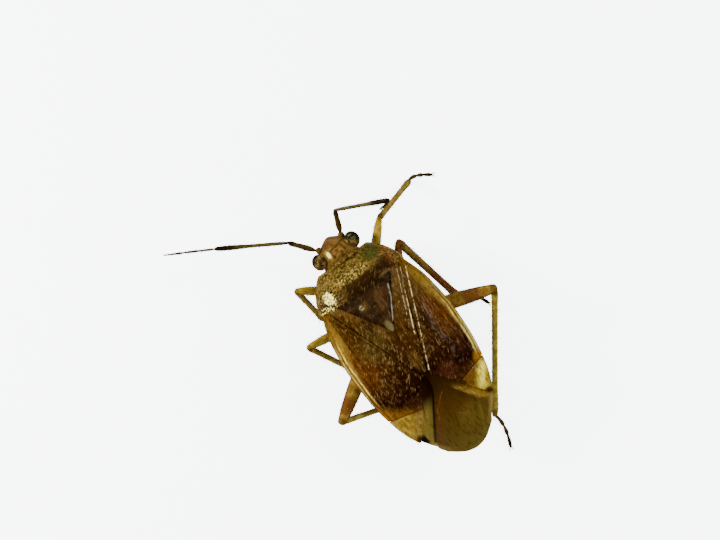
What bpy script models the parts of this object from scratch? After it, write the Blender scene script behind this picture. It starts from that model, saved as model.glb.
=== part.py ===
"""A leaf bug, one of the small plant bugs that suck sap, standing on its six feet at life size.

+Y is forward, +X is the animal's right and +Z is up. The origin is on the floor, under the middle of its box.
Sizes are in millimetres. A place on the body is told as (back, side, height): back is measured from the tip of
the head towards the tail, side from the middle line towards the right, and height from the floor. The finished
meshes are brought to metres at the end.
"""

import math

import bmesh
import bpy
import numpy as np
from mathutils import Matrix, Vector

COLLECTION_NAME = "leaf_bug"
METRES = 0.001  # of one millimetre

GAP = 0.02  # between two pieces that touch
SIDES = {"left": -1, "right": 1}

# The body, from the tip of the head back
HEAD_BACK = 0.555
PRONOTUM_FRONT = 0.575
PRONOTUM_CORNER = 1.34
PRONOTUM_BACK = 1.41
SCUTELLUM_TIP = 2.52
SCUTELLUM_HALF = 0.72
SCUTELLUM_END = 0.02
THORAX_BACK = 2.55
CLAVUS_TIP = 3.66
MEMBRANE_FRONT = 3.72
FRACTURE_OUTER = 4.10  # the crease at the front of the cuneus, at the wing's outer edge
CUNEUS_TIP = 4.88
ABDOMEN_BACK = 5.25
BODY_LENGTH = 5.70

HALF_WIDTH = 1.39  # at the widest place, across the closed wings
WING_THICK = 0.07
MEMBRANE_THICK = 0.05
VEIN_RISE = 0.022

EYE_CENTRE = (0.345, 0.44, 1.24)
EYE_RADII = (0.17, 0.19, 0.24)
LIP_CENTRE = (0.10, 0, 0.95)
LIP_RADII = (0.13, 0.12, 0.16)
SOCKET_CENTRE = (0.13, 0.30, 1.13)
SOCKET_RADII = (0.075, 0.085, 0.075)

# Antennae: thickness at the root, along the middle and at the tip of each of the four joints
ANTENNA_RADII = ((0.034, 0.050, 0.044), (0.026, 0.031, 0.041), (0.020, 0.022, 0.022), (0.020, 0.022, 0.010))
ANTENNA_ENDS = {
    "left": ((0.12, -0.32, 1.12), (-0.42, -0.75, 1.27), (-1.26, -2.14, 1.30), (-1.60, -2.74, 0.86),
             (-1.83, -3.16, 0.36)),
    "right": ((0.13, 0.30, 1.12), (-0.40, 0.51, 1.28), (0.13, 1.60, 2.32), (0.17, 1.45, 1.54),
              (0.17, 1.33, 0.96)),
}

# Legs: hip, end of the coxa, knee, end of the tibia, and end of the tarsus
LEGS = {
    ("fore", "left"): ((1.03, -0.28, 0.86), (1.09, -0.48, 0.56), (0.55, -1.23, 1.10), (1.40, -1.13, 0.10),
                       (1.74, -0.95, 0.03)),
    ("fore", "right"): ((1.03, 0.28, 0.86), (1.09, 0.48, 0.56), (0.32, 1.20, 1.10), (0.04, 2.23, 0.10),
                        (0.22, 2.73, 0.03)),
    ("mid", "left"): ((1.84, -0.34, 0.86), (1.90, -0.58, 0.55), (1.72, -1.75, 1.28), (3.19, -0.99, 0.10),
                      (3.68, -0.77, 0.03)),
    ("mid", "right"): ((1.84, 0.34, 0.86), (1.90, 0.58, 0.55), (0.99, 1.235, 1.22), (2.88, 1.63, 0.10),
                       (3.29, 2.08, 0.03)),
    ("hind", "left"): ((2.38, -0.30, 0.86), (2.45, -0.52, 0.56), (3.49, -2.12, 1.35), (4.31, 0.48, 0.10),
                       (4.60, 1.02, 0.03)),
    ("hind", "right"): ((2.38, 0.30, 0.86), (2.45, 0.52, 0.56), (3.075, 2.355, 1.35), (5.385, 0.716, 0.10),
                        (6.17, 0.586, 0.03)),
}
COXA_RADII = (0.14, 0.15, 0.09)
FEMUR_RADIUS = {"fore": 0.102, "mid": 0.092, "hind": 0.168}
FEMUR_PROFILE = (0.60, 0.82, 0.98, 1.0, 0.90, 0.70, 0.54)  # shares of the radius, from the hip to the knee
KNEE_PROFILE = ((0.35, 0.50), (0.62, 0.26))  # shares of the radius past the knee, and the radius there
TIBIA_RADII = (0.061, 0.055, 0.054, 0.053, 0.054, 0.058)
TARSUS_RADIUS = 0.034
SPINE_COUNT = {"fore": 4, "mid": 8, "hind": 10}
SPINE_LENGTH = 0.13
SPINE_RADIUS = 0.013
CLAW_LENGTH = 0.085
FOOT_BOW = {("fore", "right"): (-0.10, -0.06), ("hind", "right"): (-0.05, 0.08)}  # of the middle of a bent foot

COLOURS = {
    "head": ((0.30, 0.13, 0.04), 0.45),
    "eye": ((0.05, 0.02, 0.012), 0.25),
    "pronotum": ((0.26, 0.17, 0.05), 0.40),
    "scutellum": ((0.12, 0.06, 0.025), 0.45),
    "underside": ((0.30, 0.20, 0.07), 0.50),
    "wing": ((0.17, 0.08, 0.03), 0.45),
    "cuneus": ((0.55, 0.43, 0.18), 0.45),
    "membrane": ((0.16, 0.11, 0.05), 0.35),
    "leg": ((0.40, 0.25, 0.07), 0.45),
    "antenna": ((0.14, 0.10, 0.04), 0.50),
}


def clear_scene():
    for obj in list(bpy.data.objects):
        bpy.data.objects.remove(obj, do_unlink=True)


def new_collection(name):
    collection = bpy.data.collections.new(name)
    bpy.context.scene.collection.children.link(collection)
    return collection


def material(name):
    colour, roughness = COLOURS[name]
    made = bpy.data.materials.new(name)
    made.use_nodes = True
    shader = made.node_tree.nodes["Principled BSDF"]
    shader.inputs["Base Color"].default_value = (*colour, 1)
    shader.inputs["Roughness"].default_value = roughness
    made.diffuse_color = (*colour, 1)
    return made


def at(back, side, height):
    return Vector((side, -back, height))


def through(*pairs):
    """A smooth curve through (place, value) pairs, level before the first and past the last."""
    places, values = np.array(pairs, float).T
    slopes = np.gradient(values, places)

    def curve(place):
        place = min(max(place, places[0]), places[-1])
        i = min(int(np.searchsorted(places, place, side="right")), len(places) - 1)
        span = places[i] - places[i - 1]
        rise = values[i] - values[i - 1]
        t = (place - places[i - 1]) / span
        bend = (1 - t) * (slopes[i - 1] * span - rise) + t * (rise - slopes[i] * span)
        return float(values[i - 1] + t * rise + t * (1 - t) * bend)

    return curve


def edge(*points, smooth=False):
    """A line on the plan through (back, side) points, as a function of the share of its length."""
    points = np.array(points, float)
    steps = np.concatenate(([0.0], np.cumsum(np.linalg.norm(np.diff(points, axis=0), axis=1))))
    steps /= steps[-1]
    if smooth:
        curves = [through(*zip(steps, points[:, k])) for k in (0, 1)]
        return lambda t: np.array([curves[0](t), curves[1](t)])
    return lambda t: np.array([np.interp(t, steps, points[:, 0]), np.interp(t, steps, points[:, 1])])


def spread(front, rear, inner, outer):
    """The plan inside four edges: u runs from front to rear, and v from the inner to the outer edge."""

    def plan(u, v):
        across = (1 - v) * inner(u) + v * outer(u)
        along = (1 - u) * front(v) + u * rear(v)
        corners = (1 - u) * ((1 - v) * front(0) + v * front(1)) + u * ((1 - v) * rear(0) + v * rear(1))
        return across + along - corners

    return plan


def even(count):
    return [i / count for i in range(count + 1)]


def rounded(count):
    """Shares of a width that crowd towards both sides, as a round section needs."""
    return [0.5 - 0.5 * math.cos(math.pi * i / count) for i in range(count + 1)]


def link(mesh, name, collection):
    obj = bpy.data.objects.new(name, mesh)
    collection.objects.link(obj)
    return obj


def mesh_of(bm, name):
    bmesh.ops.remove_doubles(bm, verts=bm.verts, dist=1e-4)
    bmesh.ops.recalc_face_normals(bm, faces=bm.faces)
    mesh = bpy.data.meshes.new(name)
    bm.to_mesh(mesh)
    bm.free()
    return mesh


def block(name, plan, rows, columns, top, bottom):
    """A closed solid over a plan. Its upper and lower faces are split into triangles alike."""
    bm = bmesh.new()
    upper, lower = [
        [[bm.verts.new(surface(*plan(u, v), u, v)) for v in columns] for u in rows] for surface in (top, bottom)
    ]
    for i in range(len(rows) - 1):
        for j in range(len(columns) - 1):
            a, b, c, d = [(i, j), (i + 1, j), (i + 1, j + 1), (i, j + 1)]
            one, other = [(upper[k][m].co - upper[n][o].co).length for (k, m), (n, o) in ((a, c), (b, d))]
            split = ((a, b, c), (a, c, d)) if one < other else ((a, b, d), (b, c, d))
            for grid in (upper, lower):
                for corners in split:
                    bm.faces.new([grid[k][m] for k, m in corners])
    last_row, last_column = len(rows) - 1, len(columns) - 1
    rim = [(0, j) for j in range(last_column)]
    rim += [(i, last_column) for i in range(last_row)]
    rim += [(last_row, j) for j in range(last_column, 0, -1)]
    rim += [(i, 0) for i in range(last_row, 0, -1)]
    for (i, j), (k, m) in zip(rim, rim[1:] + rim[:1]):
        bm.faces.new((upper[i][j], upper[k][m], lower[k][m], lower[i][j]))
    return link(mesh_of(bm, name), name, parts)


def ball(name, centre, radii, segments=12, rings=8):
    bm = bmesh.new()
    bmesh.ops.create_uvsphere(bm, u_segments=segments, v_segments=rings, radius=1)
    bmesh.ops.scale(bm, vec=radii, verts=bm.verts)
    bmesh.ops.translate(bm, vec=at(*centre), verts=bm.verts)
    return link(mesh_of(bm, name), name, parts)


def evaluated_mesh(obj):
    graph = bpy.context.evaluated_depsgraph_get()
    return bpy.data.meshes.new_from_object(obj.evaluated_get(graph))


def bent(points, count):
    """Evenly spread places on a smooth line through a few points."""
    points = [Vector(p) for p in points]
    steps = [0.0]
    for a, b in zip(points, points[1:]):
        steps.append(steps[-1] + (b - a).length)
    curves = [through(*[(s, p[k]) for s, p in zip(steps, points)]) for k in range(3)]
    return [Vector([curve(steps[-1] * t) for curve in curves]) for t in even(count)]


def tube(name, points, radii, resolution=2):
    """A tapering round rod along the points, with closed ends."""
    data = bpy.data.curves.new(name, "CURVE")
    data.dimensions = "3D"
    data.bevel_depth = 1.0
    data.bevel_resolution = resolution
    data.use_fill_caps = True
    spline = data.splines.new("POLY")
    spline.points.add(len(points) - 1)
    for point, place, radius in zip(spline.points, points, radii):
        point.co = (*place, 1)
        point.radius = radius
    guide = link(data, name + "_guide", parts)
    bm = bmesh.new()
    bm.from_mesh(evaluated_mesh(guide))
    bpy.data.objects.remove(guide, do_unlink=True)
    bpy.data.curves.remove(data)
    return link(mesh_of(bm, name), name, parts)


def keep_largest(mesh):
    """Leaves only the largest closed surface of a mesh, by the box that it fills."""
    bm = bmesh.new()
    bm.from_mesh(mesh)
    left, pieces = set(bm.verts), []
    while left:
        piece, front = set(), {left.pop()}
        while front:
            vert = front.pop()
            piece.add(vert)
            near = {e.other_vert(vert) for e in vert.link_edges} & left
            left -= near
            front |= near
        pieces.append(piece)

    def reach(piece):
        places = np.array([v.co for v in piece])
        return float(np.linalg.norm(places.max(axis=0) - places.min(axis=0)))

    pieces.sort(key=reach)
    for piece in pieces[:-1]:
        bmesh.ops.delete(bm, geom=list(piece), context="VERTS")
    bm.to_mesh(mesh)
    bm.free()


def combine(obj, others, operation):
    """One Boolean of the object with a collection of closed meshes, applied, and the others removed.

    EXACT leaves open edges where an eye meets the head, so the solver is MANIFOLD.
    """
    group = new_collection("cutters")
    for other in others:
        for home in list(other.users_collection):
            home.objects.unlink(other)
        group.objects.link(other)
    modifier = obj.modifiers.new("combine", "BOOLEAN")
    modifier.operation = operation
    modifier.operand_type = "COLLECTION"
    modifier.collection = group
    modifier.solver = "MANIFOLD"
    mesh = evaluated_mesh(obj)
    obj.modifiers.clear()
    obj.data = mesh
    keep_largest(mesh)
    for other in others:
        bpy.data.objects.remove(other, do_unlink=True)
    bpy.data.collections.remove(group)
    return obj


def fuse(obj, *pieces):
    return combine(obj, pieces, "UNION")


def grown(obj):
    """A copy of the object, larger by the gap all round."""
    bm = bmesh.new()
    bm.from_mesh(obj.data)
    bm.normal_update()
    places = [v.co + v.normal * GAP * min(v.calc_shell_factor(), 2.0) for v in bm.verts]
    for vert, place in zip(bm.verts, places):
        vert.co = place
    return link(mesh_of(bm, obj.name + "_grown"), obj.name + "_grown", parts)


def seat(obj, *carriers):
    """Cuts the root of a piece to the faces of what it grows from, the gap away from them."""
    return combine(obj, [grown(carrier) for carrier in carriers], "DIFFERENCE")


def stand(obj):
    """Cuts a foot flat on the floor."""
    bm = bmesh.new()
    bm.from_mesh(obj.data)
    everything = bm.verts[:] + bm.edges[:] + bm.faces[:]
    bmesh.ops.bisect_plane(bm, geom=everything, plane_co=(0, 0, 0), plane_no=(0, 0, 1), clear_inner=True)
    bmesh.ops.holes_fill(bm, edges=bm.edges)
    obj.data = mesh_of(bm, obj.name)
    return obj


# The head

head_half = through((0, 0.08), (0.04, 0.15), (0.10, 0.25), (0.20, 0.34), (0.34, 0.37), (0.45, 0.42), (0.56, 0.46))
head_top = through((0, 1.00), (0.06, 1.11), (0.15, 1.27), (0.30, 1.44), (0.45, 1.51), (0.56, 1.48))
head_bottom = through((0, 0.90), (0.06, 0.84), (0.20, 0.79), (0.56, 0.78))


def round_plan(start, end, half):
    return spread(
        edge((start, -half(start)), (start, half(start))),
        edge((end, -half(end)), (end, half(end))),
        lambda u: np.array([start + (end - start) * u, -half(start + (end - start) * u)]),
        lambda u: np.array([start + (end - start) * u, half(start + (end - start) * u)]),
    )


def round_side(upper, lower, side, power):
    """One side, upper (1) or lower (-1), of a round section between two heights."""

    def surface(back, across, u, v):
        middle = (upper(back) + lower(back)) / 2
        reach = (upper(back) - lower(back)) / 2
        swell = (1 - (2 * v - 1) ** 2) ** power
        return at(back, across, middle + side * reach * swell)

    return surface


def make_head():
    rows = [0, 0.05, 0.12, 0.2, 0.3, 0.42, 0.55, 0.7, 0.85, 1]
    head = block(
        "head",
        round_plan(0, HEAD_BACK, head_half),
        rows,
        rounded(12),
        round_side(head_top, head_bottom, 1, 0.45),
        round_side(head_top, head_bottom, -1, 0.45),
    )
    lip = ball("lip", LIP_CENTRE, LIP_RADII, 10, 8)
    back, across, height = SOCKET_CENTRE
    sockets = [ball("socket", (back, side * across, height), SOCKET_RADII, 8, 6) for side in SIDES.values()]
    return fuse(head, lip, *sockets)


def make_eye(side_name):
    side = SIDES[side_name]
    back, across, height = EYE_CENTRE
    return ball("eye_" + side_name, (back, side * across, height), EYE_RADII, 14, 10)


def make_rostrum():
    """The sucking beak, folded back under the body between the legs."""
    line = [at(0.10, 0, 0.92), at(0.20, 0, 0.76), at(0.50, 0, 0.62), at(1.10, 0, 0.56), at(1.95, 0, 0.55)]
    radii = (0.06, 0.065, 0.05, 0.056, 0.046, 0.048, 0.038, 0.038, 0.028, 0.012)
    return tube("rostrum", bent(line, len(radii) - 1), radii)


def make_antenna(side_name):
    ends = [at(*end) for end in ANTENNA_ENDS[side_name]]
    pieces = []
    for i, (root, middle, tip) in enumerate(ANTENNA_RADII):
        line = [ends[i].lerp(ends[i + 1], t) for t in even(4)]
        radii = (root, (root + middle) / 2, middle, (middle + tip) / 2, tip)
        pieces.append(tube(f"antenna_{side_name}_{i + 1}", line, radii))
    return pieces


# The thorax

pronotum_half = through((0.575, 0.66), (0.66, 0.76), (0.80, 0.89), (1.06, 1.05), (1.25, 1.12), (1.34, 1.13))
pronotum_crown = through(
    (0.575, 1.49), (0.62, 1.53), (0.66, 1.50), (0.80, 1.62), (1.05, 1.85), (1.28, 2.00), (1.37, 2.02), (1.41, 1.99)
)
pronotum_drop = through((0.575, 0.35), (0.80, 0.42), (1.10, 0.50), (1.41, 0.56))
pronotum_under = through((0.575, 1.02), (0.95, 1.19), (1.41, 1.34))


def pronotum_top(back, across, u, v):
    share = abs(across) / pronotum_half(min(back, PRONOTUM_CORNER))
    height = pronotum_crown(back) - pronotum_drop(back) * share**2.4
    callus = math.exp(-(((abs(across) - 0.30) / 0.20) ** 2) - ((back - 0.80) / 0.09) ** 2)
    return at(back, across, height + 0.035 * callus)


def pronotum_rear(across):
    """How far back the rear edge of the pronotum lies: it bows backwards in the middle."""
    return PRONOTUM_BACK - (PRONOTUM_BACK - PRONOTUM_CORNER) * (across / pronotum_half(PRONOTUM_CORNER)) ** 2


def behind_pronotum(across):
    """The point of the plan just behind the pronotum, where a wing or the scutellum starts."""
    return (pronotum_rear(across) + 1.5 * GAP, across)


def pronotum_plan():
    front, corner = PRONOTUM_FRONT, PRONOTUM_CORNER
    half = pronotum_half(corner)

    def margin(side):
        def line(u):
            back = front + (corner - front) * u
            return np.array([back, side * pronotum_half(back)])

        return line

    def rear(v):
        across = (2 * v - 1) * half
        return np.array([pronotum_rear(across), across])

    first = pronotum_half(front)
    return spread(edge((front, -first), (front, first)), rear, margin(-1), margin(1))


def make_pronotum():
    rows = [0, 0.06, 0.11, 0.17, 0.25, 0.33, 0.42, 0.52, 0.62, 0.72, 0.82, 0.91, 1]

    def under(back, across, u, v):
        return at(back, across, pronotum_under(back))

    return block("pronotum", pronotum_plan(), rows, rounded(14), pronotum_top, under)


def make_prothorax():
    """The front ring of the chest, under the pronotum, that carries the first pair of legs."""
    half = through((0.575, 0.52), (1.0, 0.80), (1.41, 0.95))

    def top(back, across, u, v):
        return at(back, across, pronotum_under(back) - GAP)

    def bottom(back, across, u, v):
        rim = pronotum_under(back) - 0.12
        return at(back, across, 0.70 + (rim - 0.70) * abs(across / half(back)) ** 2.2)

    plan = round_plan(PRONOTUM_FRONT + 0.005, PRONOTUM_BACK - 0.01, half)
    return block("prothorax", plan, even(6), rounded(8), top, bottom)


# The back, as the closed wings lie over it

back_crown = through(
    (1.40, 1.90), (1.90, 1.96), (2.60, 1.96), (3.40, 1.88), (4.05, 1.75), (4.60, 1.52), (5.15, 1.26), (5.62, 1.03)
)
back_drop = through((1.40, 0.60), (3.90, 0.63), (4.50, 0.56), (5.62, 0.44))
wing_half = through(
    (1.38, 1.12), (1.60, 1.20), (1.85, 1.28), (2.25, 1.345), (2.75, 1.39), (3.20, 1.385), (3.60, 1.36),
    (4.10, 1.28), (4.45, 1.19), (4.75, 1.07), (5.08, 0.87), (5.38, 0.60),
)


def back_height(back, across):
    return back_crown(back) - back_drop(back) * abs(across / HALF_WIDTH) ** 2.6


def off_back(back, across, lift):
    """The point that far above the surface of the back, square to it."""
    step = 0.01
    slope_back = (back_height(back + step, across) - back_height(back - step, across)) / (2 * step)
    slope_side = (back_height(back, across + step) - back_height(back, across - step)) / (2 * step)
    normal = Vector((-slope_side, slope_back, 1)).normalized()
    return at(back, across, back_height(back, across)) + normal * lift


def make_thorax():
    """The chest behind the pronotum, which carries the wings and the other two pairs of legs."""
    half = through((1.43, 0.96), (2.0, 1.08), (2.55, 1.12))

    def top(back, across, u, v):
        return off_back(back, across, -(WING_THICK + GAP))

    def bottom(back, across, u, v):
        return at(back, across, 0.68 + 0.46 * abs(across / half(back)) ** 2.2)

    plan = round_plan(PRONOTUM_BACK + GAP, THORAX_BACK, half)
    return block("thorax", plan, even(7), rounded(10), top, bottom)


def make_scutellum():
    """The small triangular shield between the roots of the wings."""

    def base(v):
        return np.array(behind_pronotum((2 * v - 1) * SCUTELLUM_HALF))

    def margin(side):
        return edge(behind_pronotum(side * SCUTELLUM_HALF), (SCUTELLUM_TIP, side * SCUTELLUM_END))

    def top(back, across, u, v):
        bulge = 0.055 * (1 - (2 * v - 1) ** 2) * (1 - u) ** 0.5 + 0.01
        groove = 0.02 * math.exp(-(((u - 0.16) / 0.06) ** 2))
        return off_back(back, across, bulge - groove)

    def bottom(back, across, u, v):
        return off_back(back, across, -WING_THICK)

    tip = edge((SCUTELLUM_TIP, -SCUTELLUM_END), (SCUTELLUM_TIP, SCUTELLUM_END))
    plan = spread(base, tip, margin(-1), margin(1))
    rows = [0, 0.08, 0.16, 0.24, 0.36, 0.5, 0.65, 0.8, 0.92, 1]
    return block("scutellum", plan, rows, even(8), top, bottom)


abdomen_half = through((2.57, 1.16), (3.2, 1.24), (3.8, 1.20), (4.3, 1.05), (4.8, 0.78), (5.1, 0.46), (5.25, 0.22))
belly = through((2.57, 0.70), (3.2, 0.68), (3.7, 0.71), (4.4, 0.76), (5.25, 0.95))


def make_abdomen():
    """The hind body under the wings, with the grooves between its rings."""
    depth = through((2.57, 0.09), (3.5, 0.095), (3.9, 0.16), (5.25, 0.17))
    ring = (ABDOMEN_BACK - THORAX_BACK) / 7
    rows = []
    for i in range(7):
        rows += [i / 7, (i + 0.16) / 7, (i + 0.6) / 7]
    rows.append(1)

    def top(back, across, u, v):
        return off_back(back, across, -depth(back))

    def bottom(back, across, u, v):
        rim = back_height(back, across) - depth(back) - 0.09
        share = (1 - abs(2 * v - 1) ** 2.2) ** 0.8
        groove = 0.018 if (u * 7) % 1 < 0.01 and 0 < u < 1 else 0
        return at(back, across, rim - (rim - belly(back)) * share + groove * share)

    plan = round_plan(THORAX_BACK + GAP, ABDOMEN_BACK, abdomen_half)
    return block("abdomen", plan, rows, rounded(10), top, bottom)


# The wings. A wing's pieces are made for the right side, and side turns them to the left

CLAVUS_FRONT_OUTER = 0.97
CLAVUS_REAR_OUTER = 0.10
CUNEUS_INNER = (4.28, 0.49)
CUNEUS_TIP_WIDTH = 0.05


def outer_margin(start, end):
    def line(t):
        back = start + (end - start) * t
        return np.array([back, wing_half(back)])

    return line


def at_back(line, share):
    """The point of a line at a share of the way back, rather than of its length."""
    wanted = line(0)[0] + (line(1)[0] - line(0)[0]) * share
    low, high = 0.0, 1.0
    for _ in range(30):
        middle = (low + high) / 2
        if line(middle)[0] < wanted:
            low = middle
        else:
            high = middle
    return line(low)


def steady(shares):
    """Columns that keep their share of the width from the front to the rear."""
    return [(share, share) for share in shares]


def wing_plate(name, side, plan, rows, columns, ridges=(), thick=WING_THICK, sunk=0.0):
    """A plate of the wing on the curve of the back.

    A column is its share of the width at the front and at the rear. The columns in ridges stand up as veins.
    """

    def place(u, v):
        front, rear = columns[v]
        return plan(u, front * (1 - u) + rear * u)

    def top(back, across, u, v):
        return off_back(back, side * across, (VEIN_RISE if v in ridges else 0) - sunk)

    def bottom(back, across, u, v):
        return off_back(back, side * across, -sunk - thick)

    return block(name, place, rows, range(len(columns)), top, bottom)


def make_clavus(side_name):
    """The inner plate of the fore wing, along the scutellum and the middle line."""
    first = SCUTELLUM_HALF + GAP
    last = GAP / 2
    outer_first, outer_last = CLAVUS_FRONT_OUTER - GAP, CLAVUS_REAR_OUTER - GAP
    inner = edge(behind_pronotum(first), (SCUTELLUM_TIP + GAP, last), (CLAVUS_TIP, last))
    plan = spread(
        edge(behind_pronotum(first), behind_pronotum(outer_first)),
        edge((CLAVUS_TIP, last), (CLAVUS_TIP, outer_last)),
        lambda u: at_back(inner, u),
        edge(behind_pronotum(outer_first), (CLAVUS_TIP, outer_last)),
    )
    columns = steady((0, 0.3, 0.5, 0.58, 0.66, 0.88, 0.94, 1))
    return wing_plate("clavus_" + side_name, SIDES[side_name], plan, even(14), columns, ridges=(3, 6))


def make_corium(side_name):
    """The leathery main plate of the fore wing, out to its edge."""
    front = behind_pronotum(CLAVUS_FRONT_OUTER)
    rear = (CLAVUS_TIP + GAP, CLAVUS_REAR_OUTER)
    outer = outer_margin(behind_pronotum(wing_half(0))[0], FRACTURE_OUTER)
    plan = spread(edge(front, outer(0)), edge(rear, CUNEUS_INNER, outer(1)), edge(front, rear), outer)
    columns = [
        (0, 0), (0.08, 0.12), (0.14, 0.30), (0.18, 0.36), (0.22, 0.42), (0.28, 0.66), (0.32, 0.86), (0.38, 0.91),
        (0.44, 0.95), (0.9, 0.975), (1, 1),
    ]
    return wing_plate("corium_" + side_name, SIDES[side_name], plan, even(16), columns, ridges=(3, 7))


def make_cuneus(side_name):
    """The small triangle behind the crease, from which the wing bends down."""
    outer = outer_margin(FRACTURE_OUTER + GAP, CUNEUS_TIP)
    inner = (CUNEUS_INNER[0] + GAP * 1.2, CUNEUS_INNER[1] + GAP / 4)
    tip = outer(1) - np.array([0, CUNEUS_TIP_WIDTH])
    plan = spread(edge(inner, outer(0)), edge(tip, outer(1)), edge(inner, tip), outer)
    columns = steady((0, 0.1, 0.3, 0.55, 0.8, 0.93, 1))
    return wing_plate("cuneus_" + side_name, SIDES[side_name], plan, even(7), columns)


def membrane_plan():
    """The right membrane: from the tip of the clavus it crosses the middle line and rounds the tail."""
    left_front = (MEMBRANE_FRONT, -0.03)
    corner = (CUNEUS_INNER[0] + 2 * GAP, CUNEUS_INNER[1] - GAP)
    tip_back = CUNEUS_TIP + GAP * 1.5
    tip_side = wing_half(tip_back)
    inner_tip = (tip_back - GAP / 2, tip_side - CUNEUS_TIP_WIDTH - 1.7 * GAP)
    corners = [(5.42, side * wing_half(5.42)) for side in (-1, 1)]
    front = edge(left_front, (MEMBRANE_FRONT, 0.06), corner)
    margin = [(tip_back, tip_side), *[(back, wing_half(back)) for back in (5.0, 5.1, 5.2, 5.3)]]
    outer = edge(corner, inner_tip, *margin, corners[1])
    inner = edge(left_front, (4.04, -0.06), (4.55, -0.36), (5.0, -0.66), (5.2, -0.73), corners[0], smooth=True)
    rounds = [(-0.10, 0.35), (-0.025, 0.17)]
    left = [(BODY_LENGTH + short, -side) for short, side in rounds]
    right = [(BODY_LENGTH + short, side) for short, side in reversed(rounds)]
    rear = edge(corners[0], *left, (BODY_LENGTH, 0), *right, corners[1], smooth=True)
    return spread(front, rear, inner, outer)


def make_membrane(side_name):
    """The thin rear part of the fore wing, with the vein that closes its cell. The left one lies underneath."""
    columns = steady((0, 0.14, 0.3, 0.46, 0.6, 0.7, 0.76, 0.82, 0.91, 1))
    rows = (0, 0.08, 0.16, 0.25, 0.33, 0.41, 0.49, 0.55, 0.63, 0.71, 0.78, 0.86, 0.93, 1)
    sunk = MEMBRANE_THICK + GAP if side_name == "left" else 0
    name = "membrane_" + side_name
    return wing_plate(name, SIDES[side_name], membrane_plan(), rows, columns, (6,), MEMBRANE_THICK, sunk)


# The legs


def spine(root, direction):
    bm = bmesh.new()
    bmesh.ops.create_cone(bm, cap_ends=True, segments=4, radius1=SPINE_RADIUS, radius2=0, depth=SPINE_LENGTH)
    bmesh.ops.translate(bm, vec=(0, 0, SPINE_LENGTH / 2), verts=bm.verts)
    turn = direction.to_track_quat("Z", "Y").to_matrix().to_4x4()
    bmesh.ops.transform(bm, matrix=Matrix.Translation(root) @ turn, verts=bm.verts)
    return link(mesh_of(bm, "spine"), "spine", parts)


def make_tibia(name, pair, knee, ankle):
    """The shin: thin, straight, and set with stiff spines that lean towards the foot."""
    line = [knee.lerp(ankle, t) for t in even(len(TIBIA_RADII) - 1)]
    tibia = tube(name, line, TIBIA_RADII)
    along = (ankle - knee).normalized()
    level = along.cross(Vector((0, 0, 1))).normalized()
    down = along.cross(level).normalized()
    if down.z > 0:
        down = -down
    spines = []
    count = SPINE_COUNT[pair]
    for i in range(count):
        share = 0.22 + 0.70 * i / (count - 1)
        across = level * (1 if i % 2 else -1)
        lean = (across + down * 0.25 + along * 0.9).normalized()
        spines.append(spine(knee.lerp(ankle, share) + across * 0.02, lean))
    return fuse(tibia, *spines)


def make_tarsus(name, ankle, toe, bow):
    """The foot: three short joints that lie on the floor, bent sideways by the bow, and a pair of claws."""
    on_floor = TARSUS_RADIUS * 0.75
    ball_of_foot = ankle.lerp(toe, 0.25)
    ball_of_foot.z = on_floor
    toe = Vector((toe.x, toe.y, on_floor))
    stops = (0.12, 0.22, 0.40, 0.56, 0.64, 0.85, 1.0)
    line = [ankle, ankle.lerp(ball_of_foot, 0.55), ball_of_foot, *[ball_of_foot.lerp(toe, t) for t in stops]]
    shares = [0, 0.14, 0.25, *[0.25 + 0.75 * t for t in stops]]
    line = [place + bow * 4 * t * (1 - t) for place, t in zip(line, shares)]
    shape = (0.9, 0.95, 1.0, 0.95, 0.7, 0.95, 1.0, 0.7, 1.0, 0.75)
    tarsus = tube(name, line, [TARSUS_RADIUS * k for k in shape], 1)
    along = (toe - line[-2]).normalized()
    across = along.cross(Vector((0, 0, 1)))
    claws = []
    for side in (-1, 1):
        root = toe - along * 0.02
        middle = toe + along * CLAW_LENGTH * 0.5 + across * side * CLAW_LENGTH * 0.4 + Vector((0, 0, 0.012))
        tip = toe + along * CLAW_LENGTH + across * side * CLAW_LENGTH * 0.45 - Vector((0, 0, on_floor - 0.006))
        claws.append(tube("claw", [root, middle, tip], (0.014, 0.012, 0.004), 0))
    return stand(fuse(tarsus, *claws))


def make_leg(pair, side_name):
    hip, trochanter, knee, ankle, toe = [at(*place) for place in LEGS[(pair, side_name)]]
    ending = "_" + side_name
    coxa = tube(f"{pair}_coxa{ending}", [hip, hip.lerp(trochanter, 0.5), trochanter], COXA_RADII)
    thick = FEMUR_RADIUS[pair]
    arch = (trochanter + knee) / 2 + Vector((0, 0, 0.05))
    line = bent([trochanter, arch, knee], len(FEMUR_PROFILE) - 1)
    onward = (line[-1] - line[-2]).normalized()
    cap = [knee + onward * thick * past for past, _ in KNEE_PROFILE]
    profile = FEMUR_PROFILE + tuple(share for _, share in KNEE_PROFILE)
    femur = tube(f"{pair}_femur{ending}", line + cap, [thick * share for share in profile])
    tibia = make_tibia(f"{pair}_tibia{ending}", pair, knee, ankle)
    bow = at(*FOOT_BOW.get((pair, side_name), (0, 0)), 0)
    tarsus = make_tarsus(f"{pair}_tarsus{ending}", ankle, toe, bow)
    return coxa, femur, tibia, tarsus


def paint(obj, name):
    obj.data.materials.clear()
    obj.data.materials.append(materials[name])
    obj.data.shade_smooth()
    obj.data.set_sharp_from_angle(angle=math.radians(35))


def bring_to_metres():
    """Sets the middle of the box over the origin and its lowest point on the floor, in metres."""
    corners = np.array([v.co for obj in parts.objects for v in obj.data.vertices])
    low, high = corners.min(axis=0), corners.max(axis=0)
    middle = Vector(((low[0] + high[0]) / 2, (low[1] + high[1]) / 2, low[2]))
    place = Matrix.Scale(METRES, 4) @ Matrix.Translation(-middle)
    for obj in parts.objects:
        obj.data.transform(place)
        obj.data.update()


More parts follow.
